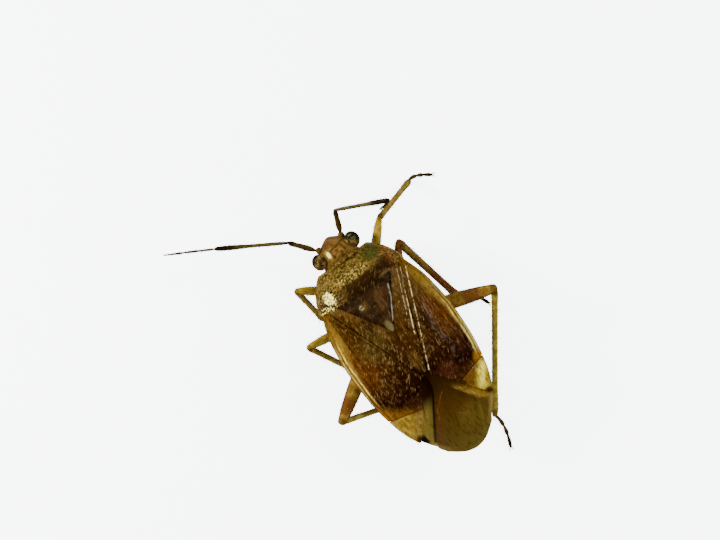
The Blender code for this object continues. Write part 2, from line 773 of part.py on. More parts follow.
def build():
    head = make_head()
    paint(head, "head")
    pronotum = make_pronotum()
    paint(pronotum, "pronotum")
    paint(seat(make_rostrum(), head), "leg")
    chest = {"fore": make_prothorax(), "mid": make_thorax()}
    chest["hind"] = chest["mid"]
    for ring in (chest["fore"], chest["mid"], make_abdomen()):
        paint(ring, "underside")
    paint(make_scutellum(), "scutellum")
    for side_name in SIDES:
        paint(seat(make_eye(side_name), head, pronotum), "eye")
        carrier = head
        for joint in make_antenna(side_name):
            paint(seat(joint, carrier), "antenna")
            carrier = joint
        paint(make_clavus(side_name), "wing")
        paint(make_corium(side_name), "wing")
        paint(make_cuneus(side_name), "cuneus")
        paint(make_membrane(side_name), "membrane")
    for pair, side_name in LEGS:
        carrier = chest[pair]
        for piece in make_leg(pair, side_name):
            paint(seat(piece, carrier), "leg")
            carrier = piece
    bring_to_metres()


clear_scene()
parts = new_collection(COLLECTION_NAME)
materials = {name: material(name) for name in COLOURS}
build()
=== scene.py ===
# %% [markdown]
# A leaf bug is a small plant bug, 5.6 mm long, that drinks sap. It is a suit of armour more than a skin: every
# part is a hard plate or tube of chitin, and the soft joints between them hardly show. So nothing here is
# sculpted as one body. Each plate is made again over its plain solid, many times finer, from the same few
# measured curves, and then gets its own colour, pits and hairs. The plain solids are loaded as a frame, in
# metres, and each fine piece hides the ones that it stands for.
#
# All shapes are written in millimetres on the animal itself: back is measured from the tip of the head towards
# the tail, side from the middle line towards the right, and height from the floor. Numbers that small are easy
# to read and to compare with a specimen under a microscope.

import math
import random
from bisect import bisect

import bmesh
import bpy
import numpy as np
from mathutils import Matrix, Vector


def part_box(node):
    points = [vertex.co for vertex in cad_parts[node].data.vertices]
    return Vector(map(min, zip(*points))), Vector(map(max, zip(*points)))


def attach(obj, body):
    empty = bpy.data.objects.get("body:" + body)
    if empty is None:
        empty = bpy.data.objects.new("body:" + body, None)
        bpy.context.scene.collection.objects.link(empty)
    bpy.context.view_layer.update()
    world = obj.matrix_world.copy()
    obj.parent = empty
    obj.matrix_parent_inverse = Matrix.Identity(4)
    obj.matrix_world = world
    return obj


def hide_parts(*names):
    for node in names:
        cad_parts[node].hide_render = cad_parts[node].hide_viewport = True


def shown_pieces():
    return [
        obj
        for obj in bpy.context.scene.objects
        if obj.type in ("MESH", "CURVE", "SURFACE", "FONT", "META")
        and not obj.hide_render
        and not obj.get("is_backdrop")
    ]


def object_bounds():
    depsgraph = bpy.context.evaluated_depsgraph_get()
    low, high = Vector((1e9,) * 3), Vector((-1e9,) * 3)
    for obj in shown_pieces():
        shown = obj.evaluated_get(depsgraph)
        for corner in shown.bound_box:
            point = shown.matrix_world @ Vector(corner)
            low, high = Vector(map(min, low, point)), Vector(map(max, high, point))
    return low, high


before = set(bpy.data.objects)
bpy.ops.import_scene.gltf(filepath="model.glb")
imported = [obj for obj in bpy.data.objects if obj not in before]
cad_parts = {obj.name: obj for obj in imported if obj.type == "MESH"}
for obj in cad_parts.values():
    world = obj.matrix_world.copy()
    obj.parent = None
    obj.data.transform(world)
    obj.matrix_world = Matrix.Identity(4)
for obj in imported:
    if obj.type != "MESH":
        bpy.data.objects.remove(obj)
cad_low, cad_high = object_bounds()
scene = bpy.context.scene

MM = 0.001
PRONOTUM_FRONT = 0.575
shield_low, shield_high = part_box("pronotum")
MIDDLE = (shield_low[0] + shield_high[0]) / 2 / MM
HEAD_TIP = shield_high[1] / MM + PRONOTUM_FRONT
TO_METRES = Matrix.Scale(MM, 4) @ Matrix.Translation((MIDDLE, HEAD_TIP, 0))
SIDES = {"left": -1, "right": 1}
UP = Vector((0, 0, 1))


def at(back, side, height):
    return Vector((side, -back, height))


def linked(name, data):
    """A new object, put in the scene."""
    obj = bpy.data.objects.new(name, data)
    scene.collection.objects.link(obj)
    return obj


print(f"{len(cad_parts)} solids; middle line at {MIDDLE:.3f} mm, tip of the head at {HEAD_TIP:.3f} mm")

# %% [markdown]
# A body like this is all smooth change: width, height and colour swell and fall along its length. A few
# measured places with a smooth curve through them hold that better than any list of points, and a curve can be
# read at any fineness.

# %% A smooth curve through measured places


def through(*pairs):
    """A smooth curve through (place, value) pairs, level before the first and past the last."""
    places = [float(place) for place, _ in pairs]
    values = [float(value) for _, value in pairs]
    slopes = [float(slope) for slope in np.gradient(values, places)]

    def curve(place):
        place = min(max(place, places[0]), places[-1])
        i = min(bisect(places, place), len(places) - 1)
        span = places[i] - places[i - 1]
        rise = values[i] - values[i - 1]
        t = (place - places[i - 1]) / span
        bend = (1 - t) * (slopes[i - 1] * span - rise) + t * (rise - slopes[i] * span)
        return values[i - 1] + t * rise + t * (1 - t) * bend

    return curve


pronotum_half = through((0.575, 0.66), (0.66, 0.76), (0.80, 0.89), (1.06, 1.05), (1.25, 1.12), (1.34, 1.13))
print("half width of the pronotum at 1.06 mm:", round(pronotum_half(1.06), 3), "mm")

# %% [markdown]
# Seen from above, each plate of the bug is a patch with four edges, which may be straight, bent or the edge of
# the body itself. A plan fills the patch between them evenly, so a grid of any fineness can be laid on it. A
# grid of equal steps would leave a round side in corners, so there its steps get shorter towards the sides.

# %% Plans between four edges


def edge(*points, smooth=False):
    """A line on the plan through (back, side) points, as a function of the share of its length."""
    points = np.array(points, float)
    steps = np.concatenate(([0.0], np.cumsum(np.linalg.norm(np.diff(points, axis=0), axis=1))))
    steps /= steps[-1]
    if smooth:
        curves = [through(*zip(steps, points[:, k])) for k in (0, 1)]
        return lambda t: np.array([curves[0](t), curves[1](t)])
    return lambda t: np.array([np.interp(t, steps, points[:, 0]), np.interp(t, steps, points[:, 1])])


def side_line(start, end, half, side=1):
    """The line that runs back from start to end, as far out to a side as the curve half says."""

    def line(u):
        back = start + (end - start) * u
        return np.array([back, side * half(back)])

    return line


def spread(front, rear, inner, outer):
    """The plan inside four edges: u runs from front to rear, and v from the inner to the outer edge."""

    def plan(u, v):
        across = (1 - v) * inner(u) + v * outer(u)
        along = (1 - u) * front(v) + u * rear(v)
        corners = (1 - u) * ((1 - v) * front(0) + v * front(1)) + u * ((1 - v) * rear(0) + v * rear(1))
        return across + along - corners

    return plan


def round_plan(start, end, half):
    """The plan of a ring of the body: as wide as its curve says, the same on both sides."""
    return spread(
        edge((start, -half(start)), (start, half(start))),
        edge((end, -half(end)), (end, half(end))),
        side_line(start, end, half, -1),
        side_line(start, end, half),
    )


def even(count):
    return [i / count for i in range(count + 1)]


def rounded(count):
    """Shares of a width that crowd towards both sides, as a round section needs."""
    return [0.5 - 0.5 * math.cos(math.pi * i / count) for i in range(count + 1)]


def hump(distance, width):
    return math.exp(-((distance / width) ** 2))


print("the first of 64 steps across a round section is", round(rounded(64)[1] * 64, 3), "of an even one")

# %% [markdown]
# The photograph looks straight down on the animal, which lies askew in it with its head to the upper left. A
# specimen under a microscope is seen almost without perspective, so the lens is very long and far away. The
# place of the camera and its turn follow from three things in the picture: the tip of the head, the direction
# of the middle line, and how many millimetres the picture is wide.

# %% Camera
PICTURE_WIDTH = 16.06
PICTURE_MIDDLE = (1.00, 0.183)
CAMERA_HEIGHT = 150.0
TURN = -math.radians(36.0)

lens = bpy.data.cameras.new("camera")
lens.sensor_width = 36.0
lens.lens = lens.sensor_width * CAMERA_HEIGHT / PICTURE_WIDTH
lens.clip_start = 0.001
lens.clip_end = 10.0
camera = linked("camera", lens)
camera.location = TO_METRES @ at(*PICTURE_MIDDLE, CAMERA_HEIGHT)
camera.rotation_euler = (0, 0, TURN)
scene.camera = camera
print(f"camera {CAMERA_HEIGHT:.0f} mm up with a {lens.lens:.0f} mm lens")

# %% [markdown]
# Shader nodes are easier to follow as sums than as a web of boxes. The class below holds one output socket; the
# usual operators on it add Math nodes, so a mask can be written as a formula. Colours must not pass through a
# Math node, which would turn them grey, so they are mixed by a Mix node. Every other node comes from one method
# that takes the node's type, its settings and what goes into its sockets.

# %% Sums of sockets


class Wire:
    """One output socket of a finish. Sums on it add Math nodes, and | keeps the stronger of two masks."""

    def __init__(self, finish, socket):
        self.finish = finish
        self.socket = socket

    def math(self, operation, *values):
        return self.finish.node("ShaderNodeMath", {"operation": operation}, dict(enumerate(values)))

    def __add__(self, other):
        return self.math("ADD", self, other)

    def __sub__(self, other):
        return self.math("SUBTRACT", self, other)

    def __rsub__(self, other):
        return self.math("SUBTRACT", other, self)

    def __mul__(self, other):
        return self.math("MULTIPLY", self, other)

    def __truediv__(self, other):
        return self.math("DIVIDE", self, other)

    def __or__(self, other):
        return self.math("MAXIMUM", self, other)

    def __abs__(self):
        return self.math("ABSOLUTE", self)

    __radd__ = __add__
    __rmul__ = __mul__


print("a wire can:", ", ".join(name.strip("_") for name, value in vars(Wire).items() if callable(value)))

# %% [markdown]
# A painter lays a ground and then one thin layer over the other. A finish works in the same way: it keeps the
# colour that it has so far, and each layer goes over it where a mask is light. Almost every mask is a soft
# patch or a soft line at a measured place on the plan, so that what is painted here stays where it belongs on
# the real animal, and neighbouring pieces carry one pattern across their seams.

# %% A finish made of layers
FLAT = (1.0, 1.0, 1.0)


class Finish:
    """A material, with the places of the animal ready as wires in millimetres."""

    def __init__(self, name, **constants):
        self.material = bpy.data.materials.new(name)
        self.material.use_nodes = True
        self.tree = self.material.node_tree
        self.shader = self.tree.nodes["Principled BSDF"]
        for word, value in {"Specular_IOR_Level": 0.0, **constants}.items():
            self.socket(word).default_value = value
        inside = self.node("ShaderNodeTexCoord", output="Object")
        self.place = self.node("ShaderNodeVectorMath", {"operation": "SCALE"}, {0: inside, "Scale": 1 / MM})
        x, y, self.height = [
            self.node("ShaderNodeSeparateXYZ", inputs={0: self.place}, output=k) for k in range(3)
        ]
        self.back = HEAD_TIP - y
        self.side = x - MIDDLE
        self.across = abs(self.side)
        facing = self.node("ShaderNodeTexCoord", output="Normal")
        self.upward = self.node("ShaderNodeSeparateXYZ", inputs={0: facing}, output=2)

    def socket(self, word):
        return self.shader.inputs[word.replace("_", " ")]

    def node(self, kind, settings=None, inputs=None, output=0):
        made = self.tree.nodes.new(kind)
        for key, value in (settings or {}).items():
            if key == "stops":
                ramp = made.color_ramp
                while len(ramp.elements) < len(value):
                    ramp.elements.new(1.0)
                for element, (position, colour) in zip(ramp.elements, value):
                    element.position = position
                    element.color = colour
            else:
                setattr(made, key, value)
        for key, value in (inputs or {}).items():
            if isinstance(value, Wire):
                self.tree.links.new(value.socket, made.inputs[key])
            else:
                made.inputs[key].default_value = value
        return Wire(self, made.outputs[output])

    def soft(self, wire, start, end):
        """0 before start and 1 past end, with a smooth step between. End may be the smaller one."""
        inputs = {"Value": wire, "From Min": start, "From Max": end}
        return self.node("ShaderNodeMapRange", {"interpolation_type": "SMOOTHSTEP"}, inputs)

    def near(self, wire, value, reach, core):
        """1 where the wire is within core of a value, and 0 beyond reach."""
        return self.soft(abs(wire - value), reach, core)

    def blob(self, back, side, long, wide, source=None):
        """A soft-edged round patch on the plan. With across as its source it is a pair of them."""
        from_back = (self.back - back) / long
        from_side = ((source or self.side) - side) / wide
        return self.soft(from_back * from_back + from_side * from_side, 1.0, 0.1)

    def line(self, start, end, width):
        """A thin soft line on the plan between two (back, side) points."""
        slope = (end[1] - start[1]) / (end[0] - start[0])
        off = abs(self.side - ((self.back - start[0]) * slope + start[1]))
        inside = self.soft(self.back, start[0] - width, start[0] + width)
        inside = inside * self.soft(self.back, end[0] + width, end[0] - width)
        return self.soft(off, width, width * 0.25) * inside

    def shades(self, wire, *stops):
        """Colours along a wire, from (place on it, colour) pairs."""
        first, last = stops[0][0], stops[-1][0]
        stops = [((place - first) / (last - first), colour) for place, colour in stops]
        return self.node("ShaderNodeValToRGB", {"stops": stops}, {0: (wire - first) / (last - first)})

    def course(self, *pairs):
        """A number along the body, from (back, number) pairs."""
        return self.shades(self.back, *[(back, (number, number, number, 1)) for back, number in pairs])

    def textured(self, kind, stretch, **inputs):
        place = self.node("ShaderNodeVectorMath", {"operation": "MULTIPLY"}, {0: self.place, 1: stretch})
        return self.node(kind, None, {"Vector": place, **inputs})

    def noise(self, scale, detail=3.0, stretch=FLAT):
        return self.textured("ShaderNodeTexNoise", stretch, Scale=scale, Detail=detail)

    def cells(self, scale, stretch=FLAT):
        """How far each place is from the nearest of many scattered points: 0 at a point."""
        return self.textured("ShaderNodeTexVoronoi", stretch, Scale=scale)

    def mix(self, first, second, share, blend="MIX"):
        settings = {"data_type": "RGBA", "blend_type": blend}
        return self.node("ShaderNodeMix", settings, {0: share, 6: first, 7: second}, output=2)

    def ground(self, first, second, share):
        self.colour = self.mix(first, second, share)

    def lay(self, colour, share):
        """Lays a colour over all that is there so far, as much as share says."""
        self.colour = self.mix(self.colour, colour, share)

    def blots(self, *patches):
        """Round patches, one over the other: (colour, strength, back, side, long, wide)."""
        for colour, strength, *place in patches:
            self.lay(colour, self.blob(*place) * strength)

    def feed(self, **wires):
        """Gives the shader the colour that was laid, and each wire to the socket of its name."""
        for word, wire in {"Base_Color": self.colour, **wires}.items():
            self.tree.links.new(wire.socket, self.socket(word))
        print(f"{self.material.name}: {len(self.tree.nodes)} nodes")

    def relief(self, height, depth):
        """Bump from a wire that runs from 0 to 1, as deep as said in millimetres."""
        bump = self.node("ShaderNodeBump", None, {"Height": height, "Strength": 1.0, "Distance": depth * MM})
        self.tree.links.new(bump.socket, self.socket("Normal"))


print("a finish can:", ", ".join(name.strip("_") for name, value in vars(Finish).items() if callable(value)))

# %% [markdown]
# A colour is easiest to judge as it looks on a screen, from 0 to 255, but a shader reckons with linear light.
# So every colour is written as the eye sees it in the photograph, and is turned into paint here. The lamps and
# the glow of the floor make paint look paler than it is, and the paint's depth and strength make up for that.

# %% Paint and shine
SCREEN_GAMMA = 2.2
LUMINANCE = (0.30, 0.59, 0.11)
PAINT_DEPTH = 0.29
PAINT_STRENGTH = 1.03
LEAST_PAINT = 0.0004
SHINE_DEPTH = 0.9


def linear(*levels):
    return [(level / 255) ** SCREEN_GAMMA for level in levels]


def tint(red, green, blue):
    """Linear paint that looks, under this light, like a colour of 0 to 255 on a screen."""
    levels = linear(red, green, blue)
    grey = sum(weight * level for weight, level in zip(LUMINANCE, levels))
    strong = [max(grey + (level - grey) * PAINT_STRENGTH, LEAST_PAINT) for level in levels]
    return tuple(level * PAINT_DEPTH for level in strong) + (1.0,)


def shine(red, green, blue):
    """Paint for the painted highlights: the few places that catch the light keep almost their full paleness."""
    return tuple(level * SHINE_DEPTH for level in linear(red, green, blue)) + (1.0,)


print("a straw yellow in linear light:", [round(level, 3) for level in tint(191, 171, 72)])

# %% [markdown]
# Every piece ends the same way. Its mesh is closed, its normals face out, its sharp rims are rounded by a
# narrow bevel, since no real shell has a knife edge, and it is brought from millimetres to metres. Then it is
# hung on the one body of the animal, and takes the place of its plain solid.

# %% From a mesh in millimetres to a finished piece
SHARP = math.radians(55)


def settle(obj, finish, slot, nodes=()):
    obj.data.transform(TO_METRES)
    obj.data.shade_smooth()
    obj.data.materials.clear()
    obj.data.materials.append(finish.material)
    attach(obj, "root")
    if nodes:
        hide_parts(*nodes)
    print(f"{obj.name}: {len(obj.data.polygons)} faces")


def piece(name, bm, finish, slot, *nodes, rim=0.0):
    """A piece that stands for the nodes, with its sharp edges rounded off as far as rim says."""
    bmesh.ops.remove_doubles(bm, verts=bm.verts, dist=1e-5)
    bmesh.ops.recalc_face_normals(bm, faces=bm.faces)
    obj = linked(name, bpy.data.meshes.new(name))
    bm.to_mesh(obj.data)
    bm.free()
    if rim:
        bevel = obj.modifiers.new("rim", "BEVEL")
        bevel.width = rim
        bevel.segments = 3
        bevel.limit_method = "ANGLE"
        bevel.angle_limit = SHARP
        graph = bpy.context.evaluated_depsgraph_get()
        mesh = bpy.data.meshes.new_from_object(obj.evaluated_get(graph))
        obj.modifiers.clear()
        obj.data = mesh
    settle(obj, finish, slot, nodes)


def block(plan, rows, columns, top, bottom):
    """A closed mesh between an upper and a lower surface over a plan."""
    bm = bmesh.new()
    upper, lower = [
        [[bm.verts.new(surface(*plan(u, v), u, v)) for v in columns] for u in rows]
        for surface in (top, bottom)
    ]
    last_row, last_column = len(rows) - 1, len(columns) - 1
    for grid in (upper, lower):
        for i in range(last_row):
            for j in range(last_column):
                bm.faces.new((grid[i][j], grid[i + 1][j], grid[i + 1][j + 1], grid[i][j + 1]))
    rim = [(0, j) for j in range(last_column)]
    rim += [(i, last_column) for i in range(last_row)]
    rim += [(last_row, j) for j in range(last_column, 0, -1)]
    rim += [(i, 0) for i in range(last_row, 0, -1)]
    for (i, j), (k, m) in zip(rim, rim[1:] + rim[:1]):
        bm.faces.new((upper[i][j], upper[k][m], lower[k][m], lower[i][j]))
    return bm


print("edges sharper than", round(math.degrees(SHARP)), "degrees get a round rim")

# %% [markdown]
# Legs, feelers and the beak are jointed tubes that swell and taper. A curve object with a bevel could draw
# them, but it keeps no record of how far along the tube a place is, and the colours need that: the dark ring on
# a thigh, the dark tip of a feeler. So a tube is swept here ring by ring, each ring turned by no more than the
# path turns, and a UV map named along holds the share of its length and of the way round.

# %% Tubes that swell and taper
CAP_RINGS = (0.35, 0.7)
CAP_BULGE = 0.6


def bent(points, count):
    """Evenly spread places on a smooth line through a few points."""
    steps = [0.0]
    for a, b in zip(points, points[1:]):
        steps.append(steps[-1] + (b - a).length)
    curves = [through(*[(s, p[k]) for s, p in zip(steps, points)]) for k in range(3)]
    return [Vector([curve(steps[-1] * t) for curve in curves]) for t in even(count)]


class Limb:
    """A round length of leg or feeler: its middle line, its thickness, and the frame at each place."""

    def __init__(self, points, radii, count):
        self.line = bent(points, count)
        self.count = count
        self.radius = through(*radii)
        ahead = (self.line[1] - self.line[0]).normalized()
        out = ahead.orthogonal().normalized()
        self.frames = []
        for i in range(count + 1):
            turned = (self.line[min(i + 1, count)] - self.line[max(i - 1, 0)]).normalized()
            out = ahead.rotation_difference(turned) @ out
            ahead = turned
            self.frames.append((ahead.copy(), out.copy(), ahead.cross(out)))

    def frame_at(self, share):
        place = min(max(share, 0.0), 1.0) * self.count
        i = min(int(place), self.count - 1)
        centre = self.line[i].lerp(self.line[i + 1], place - i)
        ahead, first, second = self.frames[i if place - i < 0.5 else i + 1]
        return centre, ahead, first, second

    def surface(self, share, turn):
        """The point at a share of the length and of the way round, and the ways outward and ahead there."""
        centre, ahead, first, second = self.frame_at(share)
        out = first * math.cos(math.tau * turn) + second * math.sin(math.tau * turn)
        return centre + out * self.radius(share), out, ahead

    def add_to(self, bm, sides):
        shares = even(self.count)
        layer = bm.loops.layers.uv.get("along") or bm.loops.layers.uv.new("along")
        rings = []
        for share in shares:
            rings.append([bm.verts.new(self.surface(share, k / sides)[0]) for k in range(sides)])
        turns = [math.tau * k / sides for k in range(sides)]
        for end, side in ((0.0, -1), (1.0, 1)):
            centre, ahead, first, second = self.frame_at(end)
            outward = [first * math.cos(turn) + second * math.sin(turn) for turn in turns]
            radius = self.radius(end)
            for tip in CAP_RINGS:
                size = radius * math.cos(tip * math.pi / 2)
                middle = centre + ahead * side * radius * CAP_BULGE * math.sin(tip * math.pi / 2)
                place = len(rings) if side > 0 else 0
                rings.insert(place, [bm.verts.new(middle + out * size) for out in outward])
                shares.insert(place, end)
        for (lower, low), (upper, high) in zip(zip(rings, shares), zip(rings[1:], shares[1:])):
            for k in range(sides):
                n = (k + 1) % sides
                wall = bm.faces.new((lower[k], lower[n], upper[n], upper[k]))
                corners = ((low, k), (low, k + 1), (high, k + 1), (high, k))
                for loop, (share, turn) in zip(wall.loops, corners):
                    loop[layer].uv = (share, turn / sides)
        bm.faces.new(rings[0][::-1])
        last = bm.faces.new(rings[-1])
        for loop in last.loops:
            loop[layer].uv = (1.0, 0.5)

    def piece(self, name, sides, finish, slot, node):
        bm = bmesh.new()
        self.add_to(bm, sides)
        piece(name, bm, finish, slot, node)


def ball(bm, centre, radii, segments, rings):
    made = bmesh.ops.create_uvsphere(bm, u_segments=segments, v_segments=rings, radius=1)
    bmesh.ops.scale(bm, vec=radii, verts=made["verts"])
    bmesh.ops.translate(bm, vec=at(*centre), verts=made["verts"])


print("a tube's end is closed by", len(CAP_RINGS), "smaller rings and a flat face")

# %% [markdown]
# Almost the whole animal is covered with short golden hairs that lie back along the body. At this scale they
# are what makes it look like a living bug and not like plastic, so they are solid: each is a thin three-sided
# spine that rises from the shell, bends and lies down. They are gathered in one mesh for each part of the body.
# The UV map gives each hair a small patch at the place where it grows, on the flat unwrap of its own plate.

# %% Hairs
chance = random.Random(7)
PATCH = 0.0015
WHOLE_MAP = (0.02, 0.02, 0.96, 0.96)
HAIR_SLANT = -0.60
HAIR_UNREST = 0.05
STEP = 0.01


class Coat:
    """Many hairs of one part of the body, in one mesh."""

    def __init__(self):
        self.points = []
        self.faces = []
        self.patches = []

    def hair(self, root, out, lie, length, width, patch, rise):
        aside = out.cross(lie).normalized()
        start = root - out * width
        middle = root + (lie * 0.5 + out * rise * 0.6) * length
        tip = root + (lie + out * rise * 0.7) * length
        first = len(self.points)
        for centre, size in ((start, width), (middle, width * 0.75)):
            self.points += [
                centre + aside * size * 0.5,
                centre - aside * size * 0.5,
                centre + out * size * 0.6,
            ]
        self.points.append(tip)
        for a, b in ((0, 1), (1, 2), (2, 0)):
            self.faces.append((first + a, first + b, first + 3 + b, first + 3 + a))
            self.faces.append((first + 3 + a, first + 3 + b, first + 6))
        u, v = patch
        self.patches += [(u - PATCH, v - PATCH), (u + PATCH, v - PATCH), (u, v - PATCH)]
        self.patches += [(u - PATCH, v), (u + PATCH, v), (u, v), (u, v + PATCH)]

    def over(self, surface, plan, count, length, width, cell=WHOLE_MAP, rise=0.30):
        """Scatters hairs evenly over a plate. Cell is (left, low, wide, high) of its place on the map."""
        widest = max(float(np.linalg.norm(plan(u, 1) - plan(u, 0))) for u in even(12))
        grown = 0
        while grown < count:
            u, v = chance.uniform(0.01, 0.99), chance.uniform(0.01, 0.99)
            if chance.random() > np.linalg.norm(plan(u, 1) - plan(u, 0)) / widest:
                continue
            root = surface(*plan(u, v), u, v)
            along = surface(*plan(u + STEP, v), u + STEP, v) - surface(*plan(u - STEP, v), u - STEP, v)
            beside = surface(*plan(u, v + STEP), u, v + STEP) - surface(*plan(u, v - STEP), u, v - STEP)
            out = beside.cross(along).normalized()
            if out.z < 0:
                out = -out
            wanted = Vector((chance.gauss(HAIR_SLANT, HAIR_UNREST), -1, 0))
            flat = (wanted - out * wanted.dot(out)).normalized()
            patch = (cell[0] + cell[2] * v, cell[1] + cell[3] * u)
            size = length * chance.uniform(0.75, 1.25)
            self.hair(root, out, flat, size, width, patch, rise * chance.uniform(0.6, 1.4))
            grown += 1
        return self

    def round(self, limb, count, length, width, cell):
        """Scatters hairs over a tube. They lean towards its end."""
        for _ in range(count):
            share, turn = chance.uniform(0.04, 0.97), chance.random()
            root, out, ahead = limb.surface(share, turn)
            patch = (cell[0] + cell[2] * turn, cell[1] + cell[3] * share)
            self.hair(root, out, ahead, length * chance.uniform(0.7, 1.2), width, patch, 0.5)

    def grow(self, name, finish, slot):
        mesh = bpy.data.meshes.new(name)
        mesh.from_pydata([tuple(p) for p in self.points], [], self.faces)
        layer = mesh.uv_layers.new(name="OFBake")
        corners = np.empty(len(mesh.loops), dtype=np.int32)
        mesh.loops.foreach_get("vertex_index", corners)
        layer.data.foreach_set("uv", np.array(self.patches, dtype=np.float32)[corners].ravel())
        settle(linked(name, mesh), finish, slot)


print("a hair has 9 triangles")

# %% [markdown]
# Chitin is lit a little from within where it is thin and pale, is smooth like lacquer between its pits, and
# carries a dull bloom of fine wrinkles. So the layer below has no shine of its own, and all gloss comes from a
# thin clear coat: more of it would lay a pale veil over every face that is seen askew. The ground colour of the
# wings is a function of the place on the animal, so that the plates, which are separate pieces, carry one
# pattern across their seams, and the hairs can be tinted by the ground that they grow on.

# %% The pattern of the wings
WING_HALF = [
    (1.38, 1.12), (1.85, 1.28), (2.25, 1.345), (2.75, 1.39), (3.60, 1.36),
    (4.10, 1.28), (4.45, 1.19), (4.75, 1.07), (5.08, 0.87), (5.38, 0.60),
]


def past_crease(made, clouds):
    """How far a place lies behind the slanting line where the leather turns straw yellow."""
    line = made.soft(made.side, -0.2, 0.2) * 0.17 + 3.764
    return made.back * 0.8 + made.across * 0.6 - line + (clouds - 0.5) * 0.15


def wing_ground(made):
    """Brown leather, golden in front and nearly black-red behind, with an outer band that is partly its own
    straw yellow and partly a painted glow of light through the thin margin.
    """
    streaks = made.noise(9.0, 4.0, (3.0, 0.6, 1.0))
    clouds = made.noise(2.2, 2.0)
    made.colour = made.shades(
        made.back + (clouds - 0.5) * 0.5,
        (1.40, tint(134, 101, 54)), (1.95, tint(113, 80, 37)), (2.60, tint(94, 60, 26)),
        (3.15, tint(84, 50, 22)), (3.60, tint(58, 28, 14)), (3.95, tint(44, 16, 11)),
        (4.30, tint(76, 44, 22)),
    )
    made.lay(tint(120, 68, 24), made.blob(2.75, 1.0, 0.75, 0.26, made.across) * 0.7)
    made.blots(
        (tint(111, 90, 44), 0.65, 2.45, -0.55, 0.55, 0.55),
        (tint(84, 52, 12), 0.85, 1.95, -0.85, 0.60, 0.36),
        (tint(62, 38, 12), 0.60, 2.80, -0.25, 0.34, 0.16),
        (tint(112, 62, 40), 0.60, 3.95, 0.42, 0.30, 0.34),
    )
    dark = made.blob(2.15, -0.45, 0.35, 0.22) | made.blob(2.75, 0.72, 0.55, 0.16)
    made.lay(tint(52, 30, 12), dark * 0.6)
    made.blots((tint(136, 100, 50), 0.80, 3.32, 0.0, 0.32, 0.14))
    pale = made.soft(streaks, 0.54, 0.70) * (made.soft(made.back, 4.0, 3.3) * 0.45 + 0.20)
    made.lay(tint(150, 108, 52), pale)
    made.lay(tint(38, 18, 10), made.soft(streaks, 0.46, 0.32) * 0.55)

    margin = made.course(*WING_HALF) - made.across + (clouds - 0.5) * 0.08
    width = made.course(
        (1.4, 0.24), (2.15, 0.30), (2.45, 0.24), (2.75, 0.19), (3.0, 0.17), (3.5, 0.135), (4.2, 0.12)
    )
    # The outer band: its own straw yellow, painted paler as a glow of light through the thin margin, most on
    # the right, and darker on the left rear.
    yellow = made.shades(
        made.back,
        (1.4, tint(146, 104, 34)), (2.2, tint(170, 134, 56)), (3.2, tint(178, 140, 64)),
        (3.8, tint(146, 96, 32)), (4.1, tint(150, 98, 32)),
    )
    right = made.soft(made.side, 0.5, 1.0) * made.soft(made.back, 2.95, 3.5)
    yellow = made.mix(yellow, tint(222, 201, 116), right * 0.9)
    left = made.soft(made.side, -0.5, -1.0) * made.soft(made.back, 2.95, 3.65)
    yellow = made.mix(yellow, tint(112, 68, 20), left * 0.75)
    made.lay(yellow, made.soft(margin / width, 1.15, 0.55))
    past = past_crease(made, clouds) + (streaks - 0.5) * 0.25
    made.lay(tint(146, 98, 38), made.soft(past, -0.10, 0.14))
    made.blots((tint(184, 128, 40), 0.85, 4.08, 1.20, 0.20, 0.17))
    return streaks, margin


print("half width of the closed wings: widest", max(half for _, half in WING_HALF), "mm")

# %% [markdown]
# The finishes follow one recipe: a ground colour that changes over the body, darker streaks on it and painted
# shade in its pits, a roughness that is lower on the smooth swellings, and relief from the same pits. Using one
# set of pits for the painted shade and for the relief keeps the dark spot at the bottom of its hollow. The
# leather of the wing adds its bright marks, which are painted highlights: two or three rails along the inner
# seam, where the veins catch the light, and a double rail along the outer margin, with a darker line in the
# groove between its two rails and at the very edge. They are broken up by noise, since hairs and wrinkles
# interrupt them on a real wing.

# %% Leather of the wings
made = leather = Finish("wing_leather", Coat_Roughness=0.22)
streaks, margin = wing_ground(made)
# Painted shade in the pits: the leather is darker where the relief sinks.
pits = made.soft(made.cells(17.0, (1.2, 0.8, 1.0)), 0.10, 0.42)
made.lay(tint(34, 18, 10), (1 - pits) * 0.4)
# Painted highlights where the veins along the inner seam catch the light.
pale = made.line((1.52, 1.045), (3.67, 0.125), 0.018) | made.line((1.46, 0.935), (2.85, 0.330), 0.019)
pale = pale | made.line((1.44, 0.865), (2.40, 0.440), 0.016) * 0.6
made.lay(shine(214, 190, 132), pale * made.soft(made.noise(14.0, 2.0), 0.34, 0.56))
made.lay(tint(64, 40, 14), made.line((1.46, -1.03), (3.68, -0.12), 0.05) * 0.7)
# Painted highlights on the two rails of the outer margin.
rail = made.near(margin, 0.108, 0.021, 0.007) | made.near(margin, 0.036, 0.014, 0.004) * 0.6
starts = made.back - made.soft(made.side, -0.2, 0.2) * 0.45
ends = made.back + made.soft(made.side, 0.2, -0.2) * 0.3
rail = rail * made.soft(starts, 1.9, 2.4) * made.soft(ends, 4.05, 3.8)
made.lay(shine(204, 174, 78), rail * (made.soft(made.noise(5.0, 2.0), 0.35, 0.6) * 0.35 + 0.30))
made.lay(tint(66, 44, 10), (made.near(margin, 0.070, 0.017, 0.005) | made.soft(margin, 0.020, 0.006)) * 0.6)
made.feed(
    Roughness=made.soft(streaks, 0.2, 0.8) * 0.20 + 0.40,
    Coat_Weight=pits * made.soft(streaks, 0.45, 0.62) * 0.036 + 0.003,
)
made.relief(pits * 0.7 + made.noise(60.0) * 0.3, 0.012)

# %% [markdown]
# Behind the leather comes the cuneus, a thick translucent wedge of straw yellow with a dark tip. Light that
# goes in leaves it again as a soft glow. Light scattered inside a shell is slow to render, and a wide pale line
# gives the same look at no cost.

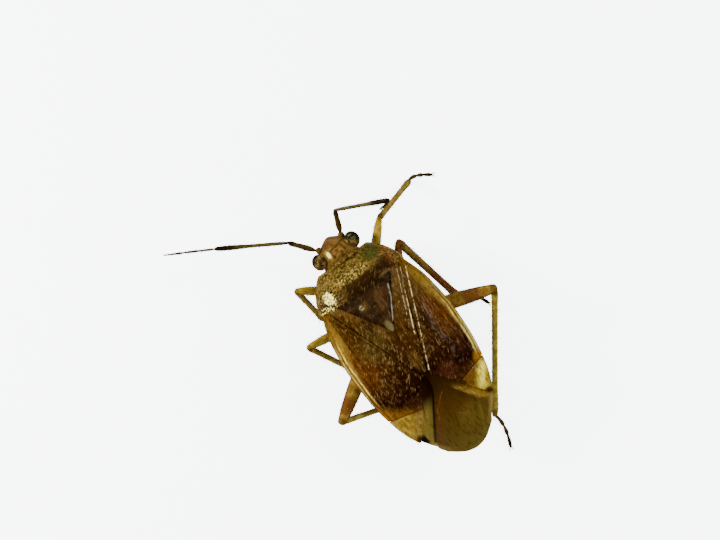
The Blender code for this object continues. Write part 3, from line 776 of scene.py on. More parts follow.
# %% Cuneus
made = straw = Finish("wing_cuneus", Coat_Weight=0.05, Coat_Roughness=0.22)
clouds = made.noise(5.0, 3.0, (1.6, 0.8, 1.0))
made.ground(tint(158, 120, 42), tint(192, 162, 68), made.soft(clouds, 0.35, 0.65))
glow = made.line((4.18, 1.14), (4.66, 0.89), 0.19) * made.soft(clouds, 0.2, 0.5)
made.lay(shine(204, 186, 62), glow * 0.88)
made.lay(tint(124, 80, 30), made.soft(past_crease(made, clouds), 0.22, -0.02) * 0.9)
tips = made.blob(4.86, 0.94, 0.15, 0.12) | made.blob(4.88, -0.92, 0.20, 0.16)
made.lay(tint(40, 16, 6), tips | made.blob(4.34, 0.55, 0.10, 0.09) * 0.75)
made.feed(Roughness=clouds * 0.2 + 0.28)
made.relief(made.cells(16.0) * 0.6 + clouds * 0.4, 0.010)

# %% [markdown]
# Last comes the film. It is smoky, and clear enough to show that something lies under it, but the bug's back
# below it is dark. So it is painted as that dark amber and lets very little through. Its vein, its glints and
# the fold where the two wings cross are lines, beaded by noise as a crumpled film breaks up the light.

# %% Film
made = film = Finish("wing_film", Coat_Weight=0.02, Coat_Roughness=0.25)
clouds = made.noise(1.6)
streaks = made.noise(9.0, 3.0, (2.6, 0.5, 1.0))
beads = made.soft(made.noise(8.0), 0.36, 0.60)
made.colour = made.shades(
    made.back + (clouds - 0.5) * 0.5,
    (3.72, tint(36, 22, 12)), (4.20, tint(70, 45, 16)), (4.70, tint(98, 72, 28)), (5.20, tint(104, 82, 34)),
    (5.62, tint(120, 102, 48)),
)
made.blots((tint(128, 104, 46), 0.5, 5.05, 0.30, 0.35, 0.4))
strip = made.line((4.30, 0.42), (4.92, 0.86), 0.12) * (beads * 0.3 + 0.7)
made.lay(tint(172, 134, 48), strip * (made.soft(made.back, 4.3, 4.65) * 0.45 + 0.40))
vein = made.line((4.28, 0.35), (4.82, 0.70), 0.075) | made.line((4.80, 0.68), (4.90, 0.86), 0.075)
made.lay(tint(204, 164, 82), vein * (beads * 0.45 + 0.2))
glint = made.line((4.24, 0.06), (4.53, -0.27), 0.040) | made.line((4.50, -0.26), (4.73, -0.35), 0.035)
glint = glint | made.line((4.84, 0.10), (4.97, 0.27), 0.060) * 0.6
made.lay(tint(150, 108, 62), glint * (beads * 0.7 + 0.1))
made.lay(tint(60, 40, 14), made.soft(streaks, 0.50, 0.36) * 0.45)
red = made.line((4.30, -0.06), (5.32, -0.70), 0.13) * made.soft(streaks, 0.42, 0.56)
made.lay(tint(112, 62, 24), red * 0.7)
border = made.soft(made.course(*WING_HALF) - made.across, 0.17, 0.03) * made.soft(made.back, 4.85, 5.0)
made.lay(tint(168, 146, 80), border * (made.soft(made.back, 5.4, 5.1) * 0.5 + 0.3))
beyond = made.soft(made.side + (made.back - 4.06) * 0.64 + 0.055, -0.01, -0.07)
made.lay(tint(52, 26, 12), beyond)
made.lay(tint(172, 146, 62), beyond * made.soft(made.back, 4.10, 4.52))
fold = made.line((4.06, -0.055), (5.10, -0.72), 0.030) | made.line((3.74, -0.03), (4.06, -0.055), 0.030)
made.lay(tint(36, 20, 8), fold * 0.85)
made.lay(tint(40, 16, 6), made.blob(4.90, -0.88, 0.17, 0.15))
pale = made.blob(5.11, -0.74, 0.07, 0.06) | made.blob(4.88, -0.78, 0.09, 0.035)
made.lay(tint(198, 182, 96), pale * 0.6)
made.feed(Roughness=clouds * 0.15 + 0.28, Alpha=made.soft(made.back, 5.6, 3.9) * 0.02 + 0.975)
made.relief(made.noise(7.0, 3.0, (0.5, 2.2, 1.0)), 0.018)

# %% [markdown]
# The shield is olive gold and coarsely pitted, with a green cloud at its right shoulder and a dark one before
# its rear edge. Its left shoulder sparkles, because every wall between two pits throws back a grain of light.
# That sparkle is a painted highlight: its grains are the peaks of one fine noise, cut off ever lower towards
# the middle of the shoulder, with painted shade in the pits between them. Fainter painted glints of the same
# noise lie over the rest of the shield, most on its crown. The pits all over it hold painted shade, and its
# thin outer rim is painted paler, as light that shows through it.

# %% Shield


def shield_ground(made):
    """Olive gold, with a dark cloud over the rear, right of the middle, painted glints that are strongest on
    the crown and a painted sparkle on the left shoulder.
    """
    clouds = made.noise(3.0)
    back = made.back + (clouds - 0.5) * 0.14
    made.colour = made.shades(
        back,
        (0.58, tint(106, 78, 34)), (0.72, tint(116, 90, 36)), (0.95, tint(114, 90, 34)),
        (1.20, tint(100, 72, 30)), (1.41, tint(96, 56, 26)),
    )
    made.lay(tint(160, 132, 66), made.soft(made.noise(11.0, 2.0), 0.50, 0.70) * 0.4)
    green = made.blob(0.81, 0.60, 0.20, 0.30)
    made.lay(tint(78, 78, 18), green * 0.95)
    made.blots((tint(78, 66, 24), 0.35, 0.80, -0.30, 0.12, 0.20))
    dark = made.soft(back + made.side * 0.04, 1.00, 1.16) * made.soft(made.side, -0.66, -0.24)
    dark = dark * made.soft(made.side, 0.96, 0.78)
    made.lay(tint(55, 37, 18), dark * 0.92)
    made.blots(
        (tint(116, 66, 24), 0.75, 1.04, 0.90, 0.30, 0.20),
        (tint(140, 104, 62), 0.80, 1.38, 0.62, 0.08, 0.26),
    )
    # Painted shade in the pits between the grains, and painted glints on the grains, most on the crown.
    grains = made.noise(20.0, 2.0)
    made.lay(tint(62, 52, 18), made.soft(grains, 0.47, 0.38) * (1 - dark) * 0.55)
    ridge = made.blob(0.98, -0.05, 0.15, 0.55) * 0.45 + 0.13
    made.lay(shine(190, 164, 88), made.soft(grains, 0.50, 0.58) * (1 - dark) * (1 - green) * ridge)
    # The painted sparkle of the left shoulder, with painted shade between its grains.
    shoulder = made.blob(1.12, -0.75, 0.195, 0.165) | made.blob(1.31, -0.88, 0.15, 0.26) * 0.55
    around = made.blob(1.16, -0.78, 0.36, 0.34) * made.soft(grains, 0.55, 0.47)
    made.lay(tint(40, 28, 10), around * 0.8)
    sparkle = made.soft(shoulder + grains * 3.6, 2.35, 2.75) * made.soft(shoulder, 0.02, 0.25)
    made.lay(shine(250, 236, 122), sparkle * 0.95)
    return clouds


made = shield = Finish("shield", Coat_Roughness=0.2)
clouds = shield_ground(made)
# Painted shade in the pits, which are the same as the relief's; less of it on the collar.
pits = made.soft(made.cells(11.5), 0.12, 0.46) | made.soft(made.back, 0.68, 0.64) * 0.7
made.lay(tint(56, 38, 14), (1 - pits) * 0.55)
# Painted light: the thin outer rim is paler, as light shows through it.
made.lay(tint(190, 168, 104), made.soft(made.across, 1.06, 1.12) * 0.4)
made.feed(
    Roughness=clouds * 0.16 + 0.34,
    Coat_Weight=pits * made.soft(made.noise(22.0, 2.0), 0.35, 0.60) * 0.04 + 0.004,
)
made.relief(pits * 0.8 + made.noise(45.0, 2.0) * 0.2, 0.022)

# %% [markdown]
# The scutellum is a small black-brown triangle with a tan blot at the left, a red-brown band to the right and a
# pale tip. Along its flanks it is painted darker, as shade where it meets the wings. A thin bright rail stands
# on its right flank, where its steep side mirrors the lamp. A mirror that small would flicker in a render, so
# the rail is painted as a beaded line.

# %% Scutellum's finish


def scutellum_ground(made):
    clouds = made.noise(5.0)
    made.ground(tint(48, 39, 28), tint(82, 57, 33), made.soft(clouds, 0.35, 0.65))
    made.lay(tint(108, 80, 44), made.blob(1.70, -0.24, 0.14, 0.17) * made.soft(clouds, 0.25, 0.5) * 0.9)
    sparks = made.soft(made.noise(18.0, 2.0), 0.46, 0.58)
    made.lay(shine(120, 116, 78), made.blob(1.70, -0.27, 0.08, 0.09) * sparks * 0.8)
    strands = made.soft(made.noise(7.0, 3.0, (2.0, 0.5, 1.0)), 0.36, 0.62)
    made.lay(tint(118, 82, 50), made.line((1.50, 0.24), (2.38, 0.04), 0.15) * strands * 0.9)
    # Painted shade along both flanks, where the triangle meets the wings.
    inside = 0.74 - (made.back - 1.42) * 0.655 - made.across
    made.lay(tint(22, 13, 9), made.soft(inside, 0.12, 0.05) * made.soft(made.side, 0.0, 0.1))
    made.lay(tint(56, 24, 16), made.soft(inside, 0.16, 0.04) * made.soft(made.side, 0.0, -0.1) * 0.7)
    uneven = made.soft(clouds, 0.3, 0.6) * 0.4 + 0.5
    made.lay(tint(170, 154, 98), made.blob(2.38, -0.015, 0.18, 0.10) * uneven)
    rail = made.line((1.60, 0.505), (1.96, 0.350), 0.030) | made.line((1.80, 0.430), (2.33, 0.115), 0.026)
    made.lay(shine(132, 122, 108), rail * (made.soft(made.noise(11.0), 0.34, 0.62) * 0.7 + 0.3))
    return clouds


made = triangle = Finish("scutellum_plate", Coat_Weight=0.015, Coat_Roughness=0.22)
clouds = scutellum_ground(made)
made.feed(Roughness=clouds * 0.16 + 0.28)
made.relief(made.soft(made.cells(15.0, (1.0, 0.6, 1.0)), 0.1, 0.45) * 0.7 + clouds * 0.3, 0.014)

# %% [markdown]
# The head is chestnut with dark streaks across its crown, beside the middle and at the eyes. A map painted by
# hand could hold them, but the head is round and would need an unwrap. Here each streak is a line or a patch on
# the plan, and fine noise between them keeps them from looking drawn. Two painted highlights lie on it too: a
# pale spot left of the middle and an orange line near its tip.

# %% Head's finish
made = face = Finish("head_shell", Coat_Weight=0.02, Coat_Roughness=0.18)
clouds = made.noise(7.0)
made.ground(tint(117, 82, 36), tint(162, 127, 60), made.soft(clouds, 0.40, 0.62))
made.lay(tint(168, 132, 66), made.soft(made.side, 0.04, 0.24) * 0.4)
streak = made.near(made.back + made.side * 0.20, 0.262, 0.036, 0.010) * made.near(made.side, 0.07, 0.27, 0.16)
streak = streak | made.line((0.18, 0.14), (0.46, 0.20), 0.035) * 0.8 | made.blob(0.44, -0.10, 0.05, 0.04)
streak = streak | made.soft(made.noise(13.0, 2.0), 0.52, 0.66) * 0.6
streak = streak | made.blob(0.44, 0.10, 0.06, 0.05, made.across) | made.blob(0.50, 0.0, 0.05, 0.30) * 0.6
made.lay(tint(64, 32, 14), streak * 0.85)
# Painted highlights: a pale spot left of the middle, and an orange line on the ridge near the tip.
made.lay(shine(204, 190, 116), made.blob(0.33, -0.185, 0.10, 0.055) * made.soft(clouds, 0.15, 0.45))
made.lay(tint(200, 148, 80), made.line((0.02, -0.05), (0.17, 0.16), 0.06) * made.soft(clouds, 0.3, 0.5) * 0.8)
made.blots((tint(166, 120, 78), 0.5, 0.37, -0.05, 0.06, 0.07))
made.lay(tint(84, 56, 28), made.soft(made.back, 0.30, 0.08) * made.soft(made.height, 0.90, 1.05) * 0.8)
made.lay(tint(124, 90, 44), made.soft(made.height, 1.10, 0.95) * 0.6)
made.feed(Roughness=clouds * 0.14 + 0.24)
made.relief(clouds * 0.5 + made.noise(28.0) * 0.5, 0.012)

# %% [markdown]
# An eye is nearly black glass, but its inner half is bare shell in brown. One finish carries both and parts
# them by the place, not by a seam in the mesh.

# %% Eyes' finish
made = eye_glass = Finish("eye_facets", Coat_Weight=0.01, Coat_Roughness=0.12)
clouds = made.noise(8.0, 2.0)
inward = made.back * 0.9 - made.across * 0.7 + (clouds - 0.5) * 0.05 - made.soft(made.side, -0.1, 0.1) * 0.10
glints = made.soft(made.noise(13.0, 2.0), 0.46, 0.60)
made.ground(tint(35, 32, 20), tint(140, 132, 86), glints * made.soft(made.upward, 0.50, 0.85) * 0.7)
crown = made.mix(tint(102, 74, 37), tint(150, 122, 72), glints)
made.lay(crown, made.soft(inward, -0.13, -0.05) * made.soft(clouds, 0.2, 0.55))
made.feed(Roughness=clouds * 0.1 + 0.16)

# %% [markdown]
# Below, the bug is straw with brown clouds, as a bug that feeds on leaves is. No picture shows this one from
# below, so nothing finer is made up there.

# %% Underside's finish
made = under = Finish("underside", Coat_Weight=0.03, Coat_Roughness=0.3)
clouds = made.noise(3.0, 4.0)
made.ground(tint(116, 88, 36), tint(70, 44, 20), made.soft(clouds, 0.42, 0.68))
made.lay(tint(70, 42, 20), made.soft(made.across, 0.75, 1.10) * made.soft(clouds, 0.3, 0.6) * 0.8)
made.feed(Roughness=clouds * 0.2 + 0.34)
made.relief(made.noise(18.0, 4.0, (0.6, 2.0, 1.0)), 0.012)

# %% [markdown]
# Legs and feelers are straw, brown or black, and darker at the joints. One function paints them all, since each
# differs from the next only by two ground colours and a few rings, and a table of these can be read at a
# glance. Sides that face down are painted darker, because the floor's glow would make them too pale.

# %% Finishes of the legs and feelers
BROWN = tint(84, 46, 18)
BLACK = tint(30, 20, 12)
KNEE = (1.02, 0.07, 0.6, tint(72, 42, 18))
BELOW = (0.34, 0.27, 0.17, 1)
LIMBS = {
    "thigh": ((206, 166, 52), (238, 204, 90), (1.02, 0.06, 0.6, BROWN)),
    "thigh_ringed_left": ((152, 110, 44), (192, 152, 70), (0.82, 0.13, 0.85, tint(114, 64, 36)), KNEE),
    "thigh_ringed_right": ((152, 110, 44), (192, 152, 70), (0.76, 0.13, 0.85, tint(114, 64, 36)), KNEE),
    "thigh_red": ((118, 68, 34), (156, 102, 56), (0.95, 0.08, 0.6, BROWN)),
    # The outer part of this shin is painted red-brown as a shadow; the ring at the knee is its own.
    "shin_with_painted_shadow": ((126, 94, 40), (154, 120, 58), (0.0, 0.05, 0.8, BROWN), (0.78, 0.44, 0.85, tint(104, 54, 26))),
    "shin": ((148, 124, 48), (184, 160, 72), (0.0, 0.06, 0.8, BROWN), (1.0, 0.07, 0.7, BROWN)),
    "foot": ((84, 64, 30), (110, 86, 42), (1.0, 0.60, 0.9, BLACK)),
    "hip": ((150, 112, 48), (176, 140, 70), (1.0, 0.2, 0.4, BROWN)),
    "claw": ((60, 36, 16), (80, 50, 22)),
    "beak": ((146, 108, 46), (172, 136, 66), (1.0, 0.22, 0.9, BLACK)),
    "feeler_root": ((70, 52, 24), (96, 74, 36), (0.95, 0.12, 0.8, BLACK)),
    "feeler_stem": ((84, 72, 34), (118, 102, 56), (0.0, 0.05, 0.9, BLACK), (1.02, 0.44, 0.95, BLACK)),
    "feeler_end": ((50, 40, 22), (66, 52, 28), (0.0, 0.08, 0.6, tint(150, 126, 70))),
}


def limb_finish(name, dull, light, *rings):
    """A tube of chitin with darker rings: (share along, half width, strength, colour). On the shin with painted
    shadow, the wide red-brown one is a painted shadow.
    """
    made = Finish(name, Coat_Weight=0.02, Coat_Roughness=0.2)
    along = made.node("ShaderNodeUVMap", {"uv_map": "along"})
    along = made.node("ShaderNodeSeparateXYZ", inputs={0: along})
    clouds = made.noise(8.0)
    made.ground(tint(*dull), tint(*light), made.soft(clouds, 0.38, 0.62))
    for middle, half, strength, dark in rings:
        made.lay(dark, made.near(along + (clouds - 0.5) * 0.10, middle, half, half * 0.45) * strength)
    made.colour = made.mix(made.colour, BELOW, made.soft(made.upward, 0.92, 0.30), "MULTIPLY")
    made.feed(Roughness=clouds * 0.18 + 0.30)
    made.relief(made.noise(30.0), 0.006)
    return made


limb_finishes = {name: limb_finish(name, *row) for name, row in LIMBS.items()}

# %% [markdown]
# A hair is too thin to show a pattern, but a coat of hairs in one colour looks like felt. So the colour of each
# hair depends on where it stands. On the shield, the triangle and the wings it takes some of its colour from
# the ground below, which keeps the pattern of the shell readable through the coat.

# %% Finishes of the hairs


def hair_finish(name, light, dark):
    made = Finish(name)
    grain = made.noise(30.0, 1.0)
    made.ground(dark, light, made.soft(grain, 0.35, 0.62))
    made.feed(Roughness=grain * 0.2 + 0.28)
    return made


def tinted_hair_finish(name, ground, gold_share):
    """Golden hair that takes some of its colour from the shell below it."""
    made = Finish(name)
    ground(made)
    grain = made.noise(9.0, 1.0)
    gold = made.soft(grain, 0.47, 0.62) * (made.soft(made.back, 4.1, 3.3) * 0.6 + 0.4)
    made.lay(tint(224, 184, 112), gold * gold_share)
    made.feed(Roughness=grain * 0.2 + 0.30)
    return made


gold_hair = hair_finish("hair_gold", tint(206, 170, 96), tint(140, 102, 44))
wing_hair = tinted_hair_finish("hair_wing", wing_ground, 0.80)
shield_hair = tinted_hair_finish("hair_shield", shield_ground, 0.40)
scutellum_hair = tinted_hair_finish("hair_scutellum", scutellum_ground, 0.35)
dark_hair = hair_finish("hair_dark", tint(96, 66, 30), tint(54, 34, 16))

# %% [markdown]
# The pronotum is the shield behind the head, the plate that everyone sees first. It falls forward like a
# bonnet, has a collar at its front edge and two low swellings, the calli, behind that. The curves are those of
# the solid; the collar's groove and the calli get their true sharpness here.

# %% Pronotum
PRONOTUM_CORNER = 1.34
PRONOTUM_BACK = 1.41
GAP = 0.02

pronotum_crown = through(
    (0.575, 1.49), (0.62, 1.53), (0.66, 1.50), (0.80, 1.62),
    (1.05, 1.85), (1.28, 2.00), (1.37, 2.02), (1.41, 1.99),
)
pronotum_drop = through((0.575, 0.35), (0.80, 0.42), (1.10, 0.50), (1.41, 0.56))
pronotum_under = through((0.575, 1.02), (0.95, 1.19), (1.41, 1.34))


def pronotum_top(back, across, u, v):
    share = abs(across) / pronotum_half(min(back, PRONOTUM_CORNER))
    height = pronotum_crown(back) - pronotum_drop(back) * share**2.4
    callus = math.exp(-(((abs(across) - 0.30) / 0.20) ** 2) - ((back - 0.80) / 0.09) ** 2)
    groove = 0.008 * hump(back - 0.665, 0.020) + 0.010 * hump(across, 0.03) * hump(back - 0.80, 0.08)
    lip = 0.012 * hump(1 - u, 0.03) - 0.010 * hump(1 - u - 0.07, 0.03)
    return at(back, across, height + 0.035 * callus - groove + lip)


def pronotum_bottom(back, across, u, v):
    return at(back, across, pronotum_under(back))


def pronotum_rear(across):
    return PRONOTUM_BACK - (PRONOTUM_BACK - PRONOTUM_CORNER) * (across / pronotum_half(PRONOTUM_CORNER)) ** 2


def behind_pronotum(across):
    """Where wings and scutellum start: just inside the rear edge of the shield, so that no light shows."""
    return (pronotum_rear(across) - GAP, across)


def pronotum_end(v):
    across = (2 * v - 1) * pronotum_half(PRONOTUM_CORNER)
    return np.array([pronotum_rear(across), across])


collar = pronotum_half(PRONOTUM_FRONT)
plan = spread(
    edge((PRONOTUM_FRONT, -collar), (PRONOTUM_FRONT, collar)),
    pronotum_end,
    *[side_line(PRONOTUM_FRONT, PRONOTUM_CORNER, pronotum_half, side) for side in SIDES.values()],
)
shape = block(plan, even(56), rounded(110), pronotum_top, pronotum_bottom)
piece("pronotum_shell", shape, shield, "pronotum", "pronotum", rim=0.022)
Coat().over(pronotum_top, plan, 800, 0.13, 0.008).grow("pronotum_hairs", shield_hair, "pronotum")

# %% [markdown]
# The head hangs in front like a blunt wedge. Its top bulges between the eyes and narrows to the clypeus, the
# snout that carries the beak. Two small sockets hold the feelers. These lie partly inside the head, as round
# bosses do on the real capsule, so they are simply set into it.

# %% Head
HEAD_BACK = 0.555
SNOUT = ((0.10, 0, 0.95), (0.13, 0.12, 0.16))
SOCKET = (0.13, 0.30, 1.13)
SOCKET_RADII = (0.075, 0.085, 0.075)

head_half = through(
    (0, 0.08), (0.04, 0.15), (0.10, 0.25), (0.20, 0.34), (0.34, 0.37), (0.45, 0.42), (0.56, 0.46)
)
head_top = through((0, 1.00), (0.06, 1.11), (0.15, 1.27), (0.30, 1.44), (0.45, 1.51), (0.56, 1.48))
head_bottom = through((0, 0.90), (0.06, 0.84), (0.20, 0.79), (0.56, 0.78))


def head_side(side):
    def surface(back, across, u, v):
        middle = (head_top(back) + head_bottom(back)) / 2
        reach = (head_top(back) - head_bottom(back)) / 2
        swell = (1 - (2 * v - 1) ** 2) ** 0.45
        height = middle + side * reach * swell
        if side > 0:
            snout = hump(across, 0.07) * hump(back - 0.10, 0.09)
            furrow = hump(abs(across) - 0.11, 0.025) * hump(back - 0.12, 0.10)
            ridge = hump(back - 0.515, 0.022)
            brow = hump(abs(across) - 0.27, 0.03) * hump(back - 0.38, 0.12)
            height += 0.020 * snout - 0.018 * furrow + 0.012 * ridge + 0.012 * brow
        return at(back, across, height)

    return surface


head = block(round_plan(0, HEAD_BACK + 0.06, head_half), even(48), rounded(64), head_side(1), head_side(-1))
ball(head, *SNOUT, 28, 18)
for side in SIDES.values():
    ball(head, (SOCKET[0], side * SOCKET[1], SOCKET[2]), SOCKET_RADII, 24, 16)
piece("head_shell", head, face, "head", "head", rim=0.02)
crown_plan = round_plan(0.03, HEAD_BACK, head_half)
Coat().over(head_side(1), crown_plan, 160, 0.060, 0.006, rise=0.5).grow("head_hairs", gold_hair, "head")

# %% [markdown]
# An insect's eye is a dome of hundreds of small lenses packed like honeycomb. An icosphere has nearly even
# points, and around each of them its triangles' centres make a six-sided cell. So the lenses are the dual of an
# icosphere: one cell for each of its points, with the middle raised a little.

# %% Eyes
EYE_CENTRE = (0.345, 0.44, 1.24)
EYE_RADII = (0.17, 0.19, 0.24)
FACET_RISE = 1.018
EYE_FIT = 0.985


def facets(centre, radii):
    globe = bmesh.new()
    bmesh.ops.create_icosphere(globe, subdivisions=5, radius=1)
    eye = bmesh.new()
    globe.faces.index_update()
    corners = [eye.verts.new(f.calc_center_median().normalized()) for f in globe.faces]
    for vert in globe.verts:
        out = vert.co.normalized()
        across = out.orthogonal().normalized()
        beside = out.cross(across)
        around = sorted(
            (math.atan2(corners[f.index].co.dot(beside), corners[f.index].co.dot(across)), f.index)
            for f in vert.link_faces
        )
        middle = eye.verts.new(out * FACET_RISE)
        for (_, a), (_, b) in zip(around, around[1:] + around[:1]):
            eye.faces.new((middle, corners[a], corners[b]))
    globe.free()
    bmesh.ops.scale(eye, vec=radii, verts=eye.verts)
    bmesh.ops.translate(eye, vec=at(*centre), verts=eye.verts)
    return eye


for name, side in SIDES.items():
    eye = facets((EYE_CENTRE[0], side * EYE_CENTRE[1], EYE_CENTRE[2]), [r * EYE_FIT for r in EYE_RADII])
    piece(f"eye_facets_{name}", eye, eye_glass, "eye", f"eye_{name}")

# %% [markdown]
# The chest rings under the shield and the wings carry the legs. From above they hardly show, but the model is
# seen from all sides, so they get the seams between their plates and the hind body gets its rings.

# %% Chest and hind body
THORAX_BACK = 2.55
ABDOMEN_BACK = 5.25
HALF_WIDTH = 1.39
WING_THICK = 0.07

back_crown = through(
    (1.40, 1.90), (1.90, 1.96), (2.60, 1.96), (3.40, 1.88),
    (4.05, 1.75), (4.60, 1.52), (5.15, 1.26), (5.62, 1.03),
)
back_drop = through((1.40, 0.60), (3.90, 0.63), (4.50, 0.56), (5.62, 0.44))


def back_height(back, across):
    return back_crown(back) - back_drop(back) * abs(across / HALF_WIDTH) ** 2.6


def off_back(back, across, lift):
    """The point that far above the curve of the back, square to it."""
    slope_back = (back_height(back + STEP, across) - back_height(back - STEP, across)) / (2 * STEP)
    slope_side = (back_height(back, across + STEP) - back_height(back, across - STEP)) / (2 * STEP)
    normal = Vector((-slope_side, slope_back, 1)).normalized()
    return at(back, across, back_height(back, across)) + normal * lift


front_half = through((0.575, 0.52), (1.0, 0.80), (1.41, 0.95))
chest_half = through((1.43, 0.96), (2.0, 1.08), (2.55, 1.12))
abdomen_half = through(
    (2.57, 1.16), (3.2, 1.24), (3.8, 1.20), (4.3, 1.05), (4.8, 0.78), (5.1, 0.46), (5.25, 0.22)
)
abdomen_depth = through((2.57, 0.09), (3.5, 0.095), (3.9, 0.16), (5.25, 0.17))
belly = through((2.57, 0.70), (3.2, 0.68), (3.7, 0.71), (4.4, 0.76), (5.25, 0.95))


def front_top(back, across, u, v):
    return at(back, across, pronotum_under(back) - GAP)


def front_bottom(back, across, u, v):
    rim = pronotum_under(back) - 0.12
    seam = 0.016 * hump(u - 0.5, 0.04)
    return at(back, across, 0.70 + seam + (rim - 0.70) * abs(across / front_half(back)) ** 2.2)


def chest_top(back, across, u, v):
    return off_back(back, across, -(WING_THICK + GAP))


def chest_bottom(back, across, u, v):
    seam = 0.018 * hump(u - 0.52, 0.025) + 0.012 * hump(across, 0.025)
    return at(back, across, 0.68 + seam + 0.46 * abs(across / chest_half(back)) ** 2.2)


def abdomen_top(back, across, u, v):
    return off_back(back, across, -abdomen_depth(back))


def abdomen_bottom(back, across, u, v):
    rim = back_height(back, across) - abdomen_depth(back) - 0.09
    share = (1 - abs(2 * v - 1) ** 2.2) ** 0.8
    place = u * 7
    groove = 0.024 * hump(place - round(place), 0.07) if 0.5 < place < 6.5 else 0
    return at(back, across, rim - (rim - belly(back)) * share + groove * share)


front_plan = round_plan(PRONOTUM_FRONT + 0.005, PRONOTUM_BACK - 0.01, front_half)
chest_plan = round_plan(PRONOTUM_BACK - 3 * GAP, THORAX_BACK + GAP, chest_half)
abdomen_plan = round_plan(THORAX_BACK, ABDOMEN_BACK, abdomen_half)
coat = Coat()
for name, node, plan, rows, columns, top, bottom, left, hairs, length in (
    ("chest_front", "prothorax", front_plan, 30, 44, front_top, front_bottom, 0.02, 250, 0.10),
    ("chest_rear", "thorax", chest_plan, 44, 52, chest_top, chest_bottom, 0.35, 450, 0.11),
    ("hind_body", "abdomen", abdomen_plan, 112, 60, abdomen_top, abdomen_bottom, 0.68, 1000, 0.12),
):
    shape = block(plan, even(rows), rounded(columns), top, bottom)
    piece(name, shape, under, "underside", node, rim=0.02)
    coat.over(bottom, plan, hairs, length, 0.009, (left, 0.02, 0.28, 0.96))
coat.grow("underside_hairs", gold_hair, "underside")

# %% [markdown]
# Between the roots of the wings lies the scutellum, a little triangle. It bulges towards its base and has a
# furrow across it. It lies on the same curve of the back as the wings, so that it fits between them by itself.

# %% Scutellum
SCUTELLUM_TIP = 2.52
SCUTELLUM_HALF = 0.72
SCUTELLUM_END = 0.02


def scutellum_base(v):
    return np.array(behind_pronotum((2 * v - 1) * SCUTELLUM_HALF))


def scutellum_top(back, across, u, v):
    bulge = 0.055 * (1 - (2 * v - 1) ** 2) * max(1 - u, 0) ** 0.5 + 0.01
    groove = 0.024 * hump(u - 0.16, 0.035)
    return off_back(back, across, bulge - groove)


def scutellum_bottom(back, across, u, v):
    return off_back(back, across, -WING_THICK)


flanks = [
    (behind_pronotum(side * SCUTELLUM_HALF), (SCUTELLUM_TIP, side * SCUTELLUM_END))
    for side in SIDES.values()
]
plan = spread(scutellum_base, edge(flanks[0][1], flanks[1][1]), edge(*flanks[0]), edge(*flanks[1]))
shape = block(plan, even(70), even(48), scutellum_top, scutellum_bottom)
piece("scutellum_plate", shape, triangle, "scutellum", "scutellum", rim=0.014)
Coat().over(scutellum_top, plan, 260, 0.10, 0.007).grow("scutellum_hairs", scutellum_hair, "scutellum")

# %% [markdown]
# Then come the fore wings, folded flat over the back. Each is one wing on the animal but four plates to the
# eye: the clavus along the middle, the large leathery corium, the pale cuneus behind a crease, and the clear
# film at the end, which crosses over the other wing's. Every plate is drawn for the right wing and mirrored
# for the left, and all of them lie on the same curve of the back.

# %% Plans of the wings' plates
CLAVUS_TIP = 3.66
SEAM_FRONT = 0.97
SEAM_REAR = 0.10
MEMBRANE_FRONT = 3.72
FRACTURE_OUTER = 4.10
CUNEUS_INNER = (4.28, 0.49)
CUNEUS_TIP = 4.88
CUNEUS_TIP_WIDTH = 0.05
FILM_CORNER = 5.42
BODY_LENGTH = 5.70

wing_half = through(*sorted([*WING_HALF, (1.60, 1.20), (3.20, 1.385)]))


def at_back(line, share):
    """The point of a line at a share of the way back, rather than of its length."""
    wanted = line(0)[0] + (line(1)[0] - line(0)[0]) * share
    low, high = 0.0, 1.0
    for _ in range(24):
        middle = (low + high) / 2
        if line(middle)[0] < wanted:
            low = middle
        else:
            high = middle
    return line(low)


def clavus_plan():
    first, last = SCUTELLUM_HALF + GAP, GAP / 2
    seam = (behind_pronotum(SEAM_FRONT - GAP), (CLAVUS_TIP, SEAM_REAR - GAP))
    inner = edge(behind_pronotum(first), (SCUTELLUM_TIP + GAP, last), (CLAVUS_TIP, last))
    front = edge(behind_pronotum(first), seam[0])
    return spread(front, edge((CLAVUS_TIP, last), seam[1]), lambda u: at_back(inner, u), edge(*seam))


def corium_plan():
    front = behind_pronotum(SEAM_FRONT)
    rear = (CLAVUS_TIP + GAP, SEAM_REAR)
    outer = side_line(behind_pronotum(wing_half(0))[0], FRACTURE_OUTER, wing_half)
    return spread(edge(front, outer(0)), edge(rear, CUNEUS_INNER, outer(1)), edge(front, rear), outer)


def cuneus_plan():
    outer = side_line(FRACTURE_OUTER + GAP, CUNEUS_TIP, wing_half)
    inner = (CUNEUS_INNER[0] + GAP * 1.2, CUNEUS_INNER[1] + GAP / 4)
    tip = outer(1) - np.array([0, CUNEUS_TIP_WIDTH])
    return spread(edge(inner, outer(0)), edge(tip, outer(1)), edge(inner, tip), outer)


def membrane_plan():
    """The film starts a little way under the hard plates before it and reaches the wing's margin."""
    left_front = (MEMBRANE_FRONT - 0.10, -0.02)
    corner = (CUNEUS_INNER[0] - 0.10, 0.80)
    margin = [(back, wing_half(back) - 0.03) for back in (4.60, 4.75)]
    margin += [(back, wing_half(back)) for back in (4.91, 5.0, 5.1, 5.2, 5.3)]
    left, right = [(FILM_CORNER, side * wing_half(FILM_CORNER)) for side in (-1, 1)]
    front = edge(left_front, (MEMBRANE_FRONT - 0.10, 0.06), (CUNEUS_INNER[0] - 0.08, 0.44), corner)
    inner = edge(left_front, (4.04, -0.06), (4.55, -0.36), (5.0, -0.66), (5.2, -0.73), left, smooth=True)
    tip = [(BODY_LENGTH + short, side) for short, side in ((-0.10, -0.35), (-0.025, -0.17), (0, 0))]
    tip += [(back, -side) for back, side in reversed(tip[:2])]
    return spread(front, edge(left, *tip, right, smooth=True), inner, edge(corner, *margin, right))


